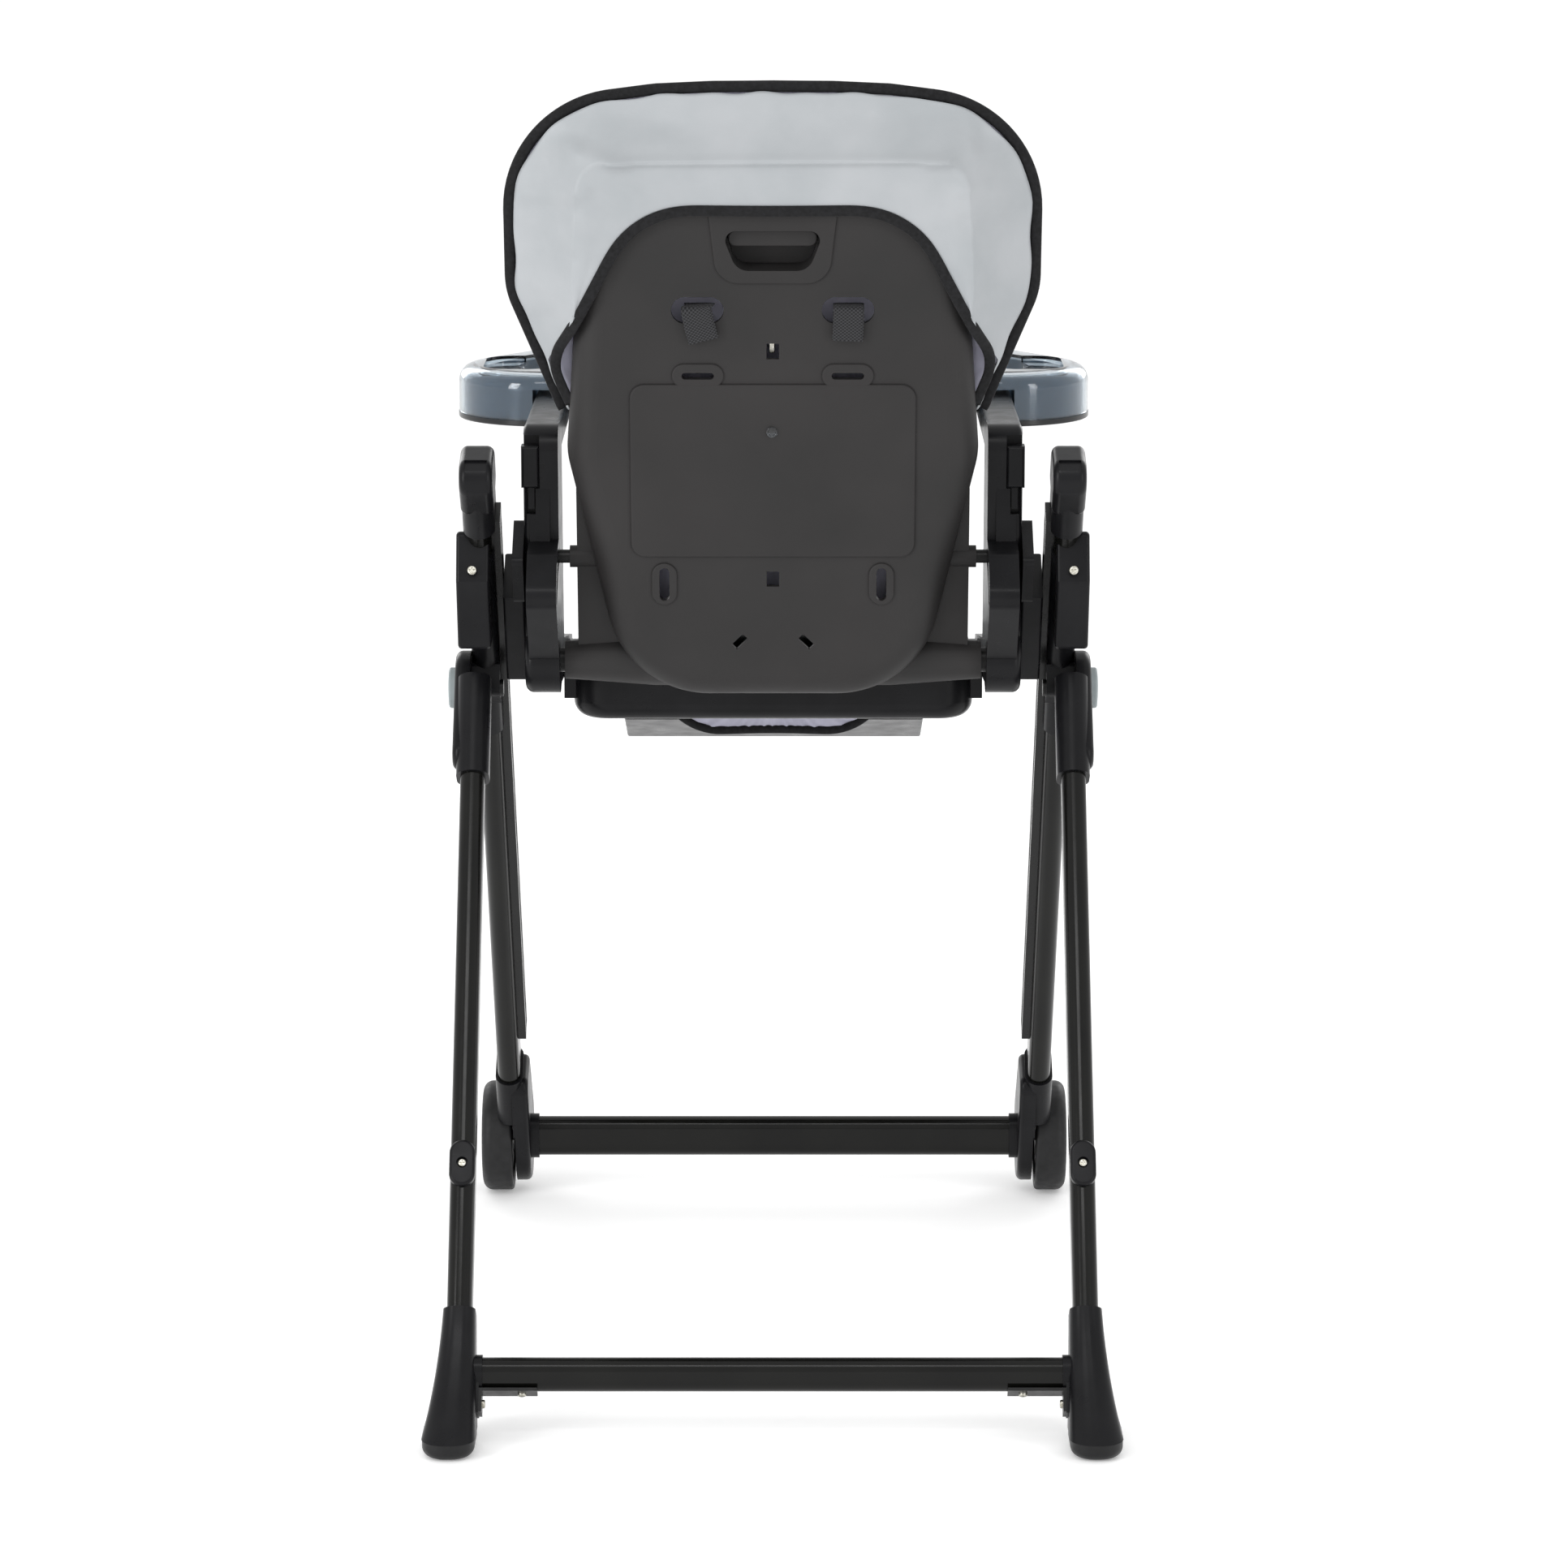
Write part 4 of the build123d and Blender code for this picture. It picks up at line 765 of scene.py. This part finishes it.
def edge_path(line, inset, depth, angle_list):
    """Points along an outline at a depth, and the outward direction at each."""
    path, outward = [], []
    for a in angle_list:
        r = reach(line, a) - inset
        path.append(on_back(HEAD[0] + r * math.sin(a), HEAD[1] + r * math.cos(a), depth))
        outward.append(on_back(math.sin(a), math.cos(a), 0) - on_back(0, 0, 0))
    return path, outward


edge_path_points, edge_out = edge_path(edge_line, BOUND / 2, 2.5, angles)
edge_binding = swept("cover_edge_binding", edge_path_points, edge_out, (BOUND + 1.5) * MM, 5.5 * MM)
edge_binding.data.materials.append(tape)


def eased(points, span):
    """Each point replaced by the mean of its neighbours, which rounds a corner as tape does."""
    last = len(points) - 1
    return [
        sum((points[min(last, max(0, k + n))] for n in range(-span, span + 1)), Vector()) / (2 * span + 1)
        for k in range(len(points))
    ]


arch_points, arch_out = [], []
for k, a in enumerate(angles):
    inward = (on_back(-math.sin(a), -math.cos(a), 0) - on_back(0, 0, 0)).normalized()
    slope = (pocket_grid[-1][k] - pocket_grid[-4][k]).normalized()
    arch_out.append(inward * 0.6 + slope * 0.4)
    arch_points.append(pocket_grid[-1][k] + OUT * 0.6 * MM + inward * 3.0 * MM)
arch_points = eased(arch_points, 5)
arch_binding = swept("head_pocket_binding", arch_points, arch_out, 9.0 * MM, 3.0 * MM)
arch_binding.data.materials.append(tape)
for piece in (head_pocket, edge_binding, arch_binding):
    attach(piece, "backrest")
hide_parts("head_pocket")

# %% [markdown]
# ## Cushions
#
# A cushion swells between its seams. The plain CAD solid is remeshed into small even faces, blown up a
# little with a cloth simulation, and held to a few millimetres of movement so that it keeps its size.
# Its channels are pressed in afterwards, because remeshing would wipe them out.

# %% Cushion maker
FRAMES = 20   # steps of the cloth simulation


def blown_up(name, source, voxel, cap, pressure, shrink):
    """A copy of a CAD solid, remeshed, swollen by cloth pressure up to cap, and smoothed."""
    mesh = nodes[source].data.copy()
    mesh.name = name
    mesh.materials.clear()
    pad = bpy.data.objects.new(name, mesh)
    bpy.context.collection.objects.link(pad)
    bm = bmesh.new()
    bm.from_mesh(mesh)
    bmesh.ops.remove_doubles(bm, verts=bm.verts, dist=1e-6)
    bm.to_mesh(mesh)
    bm.free()
    apply_modifier(pad, "REMESH", mode="VOXEL", voxel_size=voxel * MM)
    apply_modifier(pad, "SMOOTH", factor=0.5, iterations=6)
    bm = bmesh.new()
    bm.from_mesh(pad.data)
    bm.normal_update()
    for vert in bm.verts:
        vert.co -= vert.normal * shrink * MM
    bm.to_mesh(pad.data)
    bm.free()
    before = [v.co.copy() for v in pad.data.vertices]
    bpy.ops.object.select_all(action="DESELECT")
    bpy.context.view_layer.objects.active = pad
    cloth = pad.modifiers.new("cloth", "CLOTH")
    cloth.settings.quality = 5
    cloth.settings.mass = 0.3
    cloth.settings.tension_stiffness = 25
    cloth.settings.compression_stiffness = 10
    cloth.settings.use_pressure = True
    cloth.settings.uniform_pressure_force = pressure
    cloth.settings.effector_weights.gravity = 0
    cloth.point_cache.frame_start, cloth.point_cache.frame_end = 1, FRAMES
    for step in range(1, FRAMES + 1):
        bpy.context.scene.frame_set(step)
    solved = pad.evaluated_get(bpy.context.evaluated_depsgraph_get()).data
    after = [v.co.copy() for v in solved.vertices]
    pad.modifiers.remove(cloth)
    bpy.context.scene.frame_set(1)
    for vert, a, b in zip(pad.data.vertices, before, after):
        move = b - a
        if move.length > cap * MM:
            move = move.normalized() * cap * MM
        vert.co = a + move
    return pad


def back_drawing(place):
    """A place in the frame as x, h and d of the backrest drawing, in millimetres."""
    y, z = (place.y - AXLE.y) / MM, (place.z - AXLE.z) / MM
    return (
        place.x / MM,
        y * math.sin(LEAN) + z * math.cos(LEAN),
        y * math.cos(LEAN) - z * math.sin(LEAN),
    )


# %% [markdown]
# ### Backrest cushion
#
# Its front has a sewn border that follows the outline, a waist seam where the head part meets the
# lower part, and channels that split each part in panels. A seam is a narrow V that the needle pulls
# in, so the cushion sinks by a smooth notch around each line.

# %% Backrest cushion
back_cushion = blown_up("backrest_cushion", "backrest_pad", 5.0, 5.0, 4.0, 1.2)
border_line = outline(EDGE, -24)
SEAM_DEEP, SEAM_WIDE = 4.5, 5.0
WAIST_H, WAIST_GAP = 221, 5           # the seam between the head part and the lower part
HEAD_SEAM_H, HEAD_CHANNEL_X = 372, 46
LOW_SEAM_H, LOW_CHANNEL_X = 140, 40


def notch(distance, width=SEAM_WIDE):
    return math.exp(-((distance / width) ** 2))


for vert in back_cushion.data.vertices:
    x, h, d = back_drawing(vert.co)
    if d > -8:
        continue
    sink = 0.0
    if h > WAIST_H + WAIST_GAP:
        radius = math.hypot(x - HEAD[0], h - HEAD[1])
        border = reach(border_line, math.atan2(x, h - HEAD[1]))
        sink = max(sink, notch(radius - border))
        if radius < border:
            channel = notch(abs(x) - HEAD_CHANNEL_X) * (1 if h < HEAD_SEAM_H else 0)
            sink = max(sink, notch(h - HEAD_SEAM_H), channel)
    elif h < WAIST_H - WAIST_GAP:
        sink = max(sink, notch(h - LOW_SEAM_H), notch(abs(x) - LOW_CHANNEL_X))
    sink = max(sink, notch(h - WAIST_H, 6))
    vert.co += OUT * SEAM_DEEP * MM * sink
apply_modifier(back_cushion, "SUBSURF", levels=1, render_levels=1)
back_cushion.data.shade_smooth()
back_cushion.data.materials.append(coated_cloth)
back_cushion.data.materials.append(lining)
for polygon in back_cushion.data.polygons:
    polygon.material_index = 1 if polygon.normal.dot(OUT) > 0.5 else 0
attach(back_cushion, "backrest")
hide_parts("backrest_pad")
print("backrest cushion", len(back_cushion.data.polygons), "faces")

# %% Seat cushion
SEAT_BORDER, SEAT_CHANNEL_X, SEAT_SEAM_Y = 26, 44, 10
seat_cushion = blown_up("seat_cushion", "seat_pad", 5.0, 7.0, 4.0, 3.0)
seat_low, seat_high = (Vector(corner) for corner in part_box("seat_pad"))
seat_mid = (seat_low + seat_high) / 2
half_x, half_y = (seat_high.x - seat_low.x) / 2 / MM, (seat_high.y - seat_low.y) / 2 / MM
for vert in seat_cushion.data.vertices:
    if vert.co.z < seat_high.z - 0.02:
        continue
    x, y = (vert.co.x - seat_mid.x) / MM, (vert.co.y - seat_mid.y) / MM
    rim_gap = min(half_x - SEAT_BORDER - abs(x), half_y - SEAT_BORDER - abs(y))
    sink = notch(rim_gap)
    if rim_gap > 0:
        cross_seam = notch(y - SEAT_SEAM_Y) * (1 if abs(x) > SEAT_CHANNEL_X else 0)
        sink = max(sink, notch(abs(x) - SEAT_CHANNEL_X), cross_seam)
    vert.co.z -= SEAM_DEEP * MM * sink
apply_modifier(seat_cushion, "SUBSURF", levels=1, render_levels=1)
seat_cushion.data.shade_smooth()
seat_cushion.data.materials.append(coated_cloth)
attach(seat_cushion, "seat")
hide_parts("seat_pad")

# %% [markdown]
# ### Calf flap
#
# The cover's front end hangs between the footrest's arms: coated cloth in front, thin lining behind,
# and tape round the edge. The lining is a little longer than the tape that gathers it, so it puckers
# along the curve. Here the flap turns with the footrest, where real cloth would go on hanging down.

# %% Calf flap
flap_low, flap_high = (Vector(corner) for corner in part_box("calf_flap"))
FLAP_X, FLAP_CORNER = 48, 56
FLAP_PEGS = ((FLAP_X, FLAP_CORNER, FLAP_CORNER),)
FLAP_BOUND = 7.5
FLAP_STEPS, FLAP_ROWS = 120, 12
flap_edge = outline(FLAP_PEGS)
flap_top = (flap_high.z - flap_low.z) / MM
flap_mid = (0.0, flap_top)


def flap_point(x, h, forward):
    """A point of the flap, x across and h above its lowest point, forward of its back face."""
    return Vector((x * MM, flap_high.y - forward * MM, flap_low.z + h * MM))


flap_angles = [math.radians(90 + 180 * k / FLAP_STEPS) for k in range(FLAP_STEPS + 1)]
flap_rows = []
for row in range(FLAP_ROWS + 1):
    line = []
    for a in flap_angles:
        full = reach(flap_edge, a, flap_mid) - FLAP_BOUND * 0.6
        r = full * (0.02 + 0.98 * row / FLAP_ROWS)
        x, h = flap_mid[0] + r * math.sin(a), flap_mid[1] + r * math.cos(a)
        pucker = 0.7 * math.sin(a * 46) + 0.5 * math.sin(a * 29 + 1.3)
        sag = 1.6 * math.sin(math.pi * row / FLAP_ROWS)
        line.append(flap_point(x, h, 2.2 - sag + pucker * (row / FLAP_ROWS) ** 5))
    flap_rows.append(line)
flap_lining = sheet_mesh("calf_flap_lining", flap_rows)
face_outwards(flap_lining, (0, 1, 0))
apply_modifier(flap_lining, "SOLIDIFY", thickness=0.8 * MM, offset=-1)
flap_lining.data.shade_smooth()
flap_lining.data.materials.append(lining)
flap_front = sheet_mesh(
    "calf_flap_front", [[p + Vector((0, -2.6 * MM, 0)) for p in line] for line in flap_rows]
)
face_outwards(flap_front, (0, -1, 0))
apply_modifier(flap_front, "SOLIDIFY", thickness=1.2 * MM, offset=-1)
flap_front.data.shade_smooth()
flap_front.data.materials.append(coated_cloth)
flap_path = []
for a in flap_angles:
    r = reach(flap_edge, a, flap_mid) - FLAP_BOUND / 2
    flap_path.append(flap_point(flap_mid[0] + r * math.sin(a), flap_mid[1] + r * math.cos(a), 3.2))
flap_out = [Vector((math.sin(a), 0, math.cos(a))) for a in flap_angles]
flap_binding = swept("calf_flap_binding", flap_path, flap_out, FLAP_BOUND * MM, 5.6 * MM)
flap_binding.data.materials.append(tape)
for piece in (flap_lining, flap_front, flap_binding):
    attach(piece, "footrest")
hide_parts("calf_flap")

# %% [markdown]
# ## Harness
#
# Webbing is flat, stiff across its width and soft along its length. Each strap is a thin bar along its
# path, with a UV map in metres that the weave reads. The cut ends at the back of the shell stand a
# little off it and one is twisted, because nobody straightens them.

# %% Strap maker
STRAP_WIDE, STRAP_THICK = 24.5, 1.7


def strap(name, path, wide_axes, width=STRAP_WIDE, thick=STRAP_THICK):
    """A flat strap along a path, with its UV map named strap in metres."""
    verts, uvs, faces, run = [], [], [], 0.0
    columns = 8
    count = len(path)
    for i, p in enumerate(path):
        if i:
            run += (p - path[i - 1]).length
        direction = (path[min(i + 1, count - 1)] - path[max(i - 1, 0)]).normalized()
        wide = (wide_axes[i] - direction * wide_axes[i].dot(direction)).normalized()
        up = direction.cross(wide)
        for side in (1, -1):
            for k in range(columns + 1):
                v = (k / columns - 0.5) * width * MM
                edge = 1 - 0.35 * abs(2 * k / columns - 1) ** 6
                verts.append(p + wide * v + up * (side * thick * MM / 2 * edge))
                uvs.append((run, v))
    ring = 2 * (columns + 1)
    for i in range(count - 1):
        a, b = i * ring, (i + 1) * ring
        for k in range(columns):
            faces.append((a + k, a + k + 1, b + k + 1, b + k))
            low = columns + 1
            faces.append((a + low + k + 1, a + low + k, b + low + k, b + low + k + 1))
        for k, n in ((columns, 2 * columns + 1), (columns + 1, 0)):
            faces.append((a + k, a + n, b + n, b + k))
    for a, flip in ((0, False), ((count - 1) * ring, True)):
        for k in range(columns):
            face = (a + k, a + columns + 1 + k, a + columns + 2 + k, a + k + 1)
            faces.append(face[::-1] if flip else face)
    mesh = bpy.data.meshes.new(name)
    mesh.from_pydata([tuple(v) for v in verts], [], faces)
    layer = mesh.uv_layers.new(name="strap")
    for loop in mesh.loops:
        layer.data[loop.index].uv = uvs[loop.vertex_index]
    made = bpy.data.objects.new(name, mesh)
    bpy.context.collection.objects.link(made)
    bm = bmesh.new()
    bm.from_mesh(mesh)
    bmesh.ops.recalc_face_normals(bm, faces=bm.faces)
    bm.to_mesh(mesh)
    bm.free()
    mesh.shade_smooth()
    mesh.materials.append(webbing)
    return made


def smooth_path(points, per_span=10):
    """A smooth run of points through the given ones."""
    knots = [points[0]] + list(points) + [points[-1]]
    path = []
    for i in range(1, len(knots) - 2):
        p0, p1, p2, p3 = knots[i - 1 : i + 3]
        for k in range(per_span):
            t = k / per_span
            path.append(
                0.5 * (2 * p1 + (p2 - p0) * t + (2 * p0 - 5 * p1 + 4 * p2 - p3) * t**2
                       + (3 * p1 - p0 - 3 * p2 + p3) * t**3)
            )
    path.append(points[-1])
    return path


# %% Shoulder straps, crotch strap and the ends behind the shell
ACROSS_X = Vector((1, 0, 0))
PAD_FACE = -27.0
for sign, side in ((1, "left"), (-1, "right")):
    points = [
        on_back(sign * 60, 309, -14),
        on_back(sign * 60, 305, PAD_FACE - 3),
        on_back(sign * 57, 270, PAD_FACE - 7),
        on_back(sign * 50, 200, PAD_FACE - 8),
        on_back(sign * 42, 140, PAD_FACE - 8),
        on_back(sign * 35, 86, PAD_FACE - 5),
    ]
    path = smooth_path(points)
    shoulder = strap("shoulder_strap_" + side, path, [ACROSS_X] * len(path))
    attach(shoulder, "backrest")
    if sign == 1:
        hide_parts("shoulder_straps")

for sign, side, twist, slip in ((1, "left", 13, 2.0), (-1, "right", -2, 0.0)):
    x = sign * 60.5
    turn = math.radians(twist)
    points = [(x - slip, 311, 24), (x - slip, 313.5, 38), (x, 313, 44.5), (x, 308, 46.0), (x, 298, 45.5),
              (x, 286, 44.5)]
    lean_x = [0, 0, 0, 2.0 * math.tan(turn), 11 * math.tan(turn), 24 * math.tan(turn)]
    path = smooth_path([on_back(px - dx, h, d) for (px, h, d), dx in zip(points, lean_x)], 6)
    wide = []
    for i in range(len(path)):
        share = min(1.0, i / (len(path) * 0.5))
        a = turn * share
        wide.append(on_back(math.cos(a), -math.sin(a), 0) - on_back(0, 0, 0))
    end = strap("strap_end_" + side, path, wide)
    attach(end, "backrest")
    if sign == 1:
        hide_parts("strap_ends")

buckle_high = Vector(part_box("harness_buckle")[1])
strap_low, strap_high = (Vector(corner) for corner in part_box("crotch_strap"))
points = [
    Vector((0, strap_high.y, strap_low.z - 0.004)),
    Vector((0, strap_high.y - 0.006, strap_high.z + 0.002)),
    Vector((0, (strap_low.y + strap_high.y) / 2, strap_high.z + 0.004)),
    Vector((0, strap_low.y, strap_high.z + 0.003)),
    Vector((0, buckle_high.y - 0.004, strap_high.z + 0.003)),
]
path = smooth_path(points, 8)
crotch = strap("crotch_strap_webbing", path, [ACROSS_X] * len(path), width=24)
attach(crotch, "seat")
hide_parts("crotch_strap")

# %% [markdown]
# ## Rivet and spring clip
#
# A clear plastic rivet sits in the middle of the shell, and a strip of bright metal shows in the square
# hole above it. What the strip belongs to is hidden, so it is drawn as a small bent clip. The rivet is a
# short cylinder whose outer face is inset and pushed in to a dish, then bevelled. A ray sent at the shell
# from behind finds the surface that the rivet sits on.

# %% Rivet
RIVET_H, RIVET_R, RIVET_TALL = 209.7, 4.4, 1.8


def shell_surface(x, h):
    """The place where a ray from behind meets the backrest shell."""
    start = on_back(x, h, 200)
    hit, place, _, _ = nodes["backrest_shell"].ray_cast(start, -OUT.normalized())
    return place if hit else on_back(x, h, 40)


def laid_on_back(piece, place):
    """Turns an upright primitive so that its top faces back, puts it at place, and applies both."""
    turned = Matrix.Translation(place) @ OUT.to_track_quat("Z", "Y").to_matrix().to_4x4()
    piece.data.transform(turned @ piece.matrix_world)
    piece.matrix_world = Matrix()


def select_faces(piece, chosen):
    """Enters edit mode with the faces selected that a test on their centre and normal picks."""
    bpy.ops.object.mode_set(mode="EDIT")
    bpy.ops.mesh.select_mode(type="FACE")
    bpy.ops.mesh.select_all(action="DESELECT")
    bm = bmesh.from_edit_mesh(piece.data)
    for face in bm.faces:
        if chosen(face.calc_center_median(), face.normal):
            face.select_set(True)
    bmesh.update_edit_mesh(piece.data)


bpy.ops.object.select_all(action="DESELECT")
bpy.ops.mesh.primitive_cylinder_add(vertices=48, radius=RIVET_R * MM, depth=RIVET_TALL * MM)
rivet = bpy.context.object
rivet.name = "cover_rivet"
select_faces(rivet, lambda centre, normal: normal.z > 0.9)
bpy.ops.mesh.inset(thickness=1.5 * MM)
bpy.ops.mesh.extrude_region_move(TRANSFORM_OT_translate={"value": (0, 0, -1.0 * MM)})
bpy.ops.object.mode_set(mode="OBJECT")
apply_modifier(rivet, "BEVEL", width=0.35 * MM, segments=3)
laid_on_back(rivet, shell_surface(0.8, RIVET_H) + OUT * 0.9 * MM)
rivet.data.shade_smooth()
rivet.data.materials.append(clear_tray)
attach(rivet, "backrest")
print("rivet faces", len(rivet.data.polygons))

# %% Spring clip
CLIP_H, CLIP_D = 275.5, 26.0
bpy.ops.object.select_all(action="DESELECT")
bpy.ops.mesh.primitive_cube_add(size=1)
clip = bpy.context.object
clip.name = "spring_clip"
clip.data.transform(Matrix.Diagonal((4.0 * MM, 9.0 * MM, 1.2 * MM, 1)))
select_faces(clip, lambda centre, normal: normal.y > 0.9)
bpy.ops.mesh.extrude_region_move(TRANSFORM_OT_translate={"value": (0, 2.0 * MM, -2.5 * MM)})
bpy.ops.object.mode_set(mode="OBJECT")
apply_modifier(clip, "BEVEL", width=0.3 * MM, segments=2)
laid_on_back(clip, on_back(0.7, CLIP_H, CLIP_D))
clip.data.materials.append(zinc)
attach(clip, "backrest")
print("clip faces", len(clip.data.polygons))

# %% Clear the selection
bpy.ops.object.select_all(action="DESELECT")
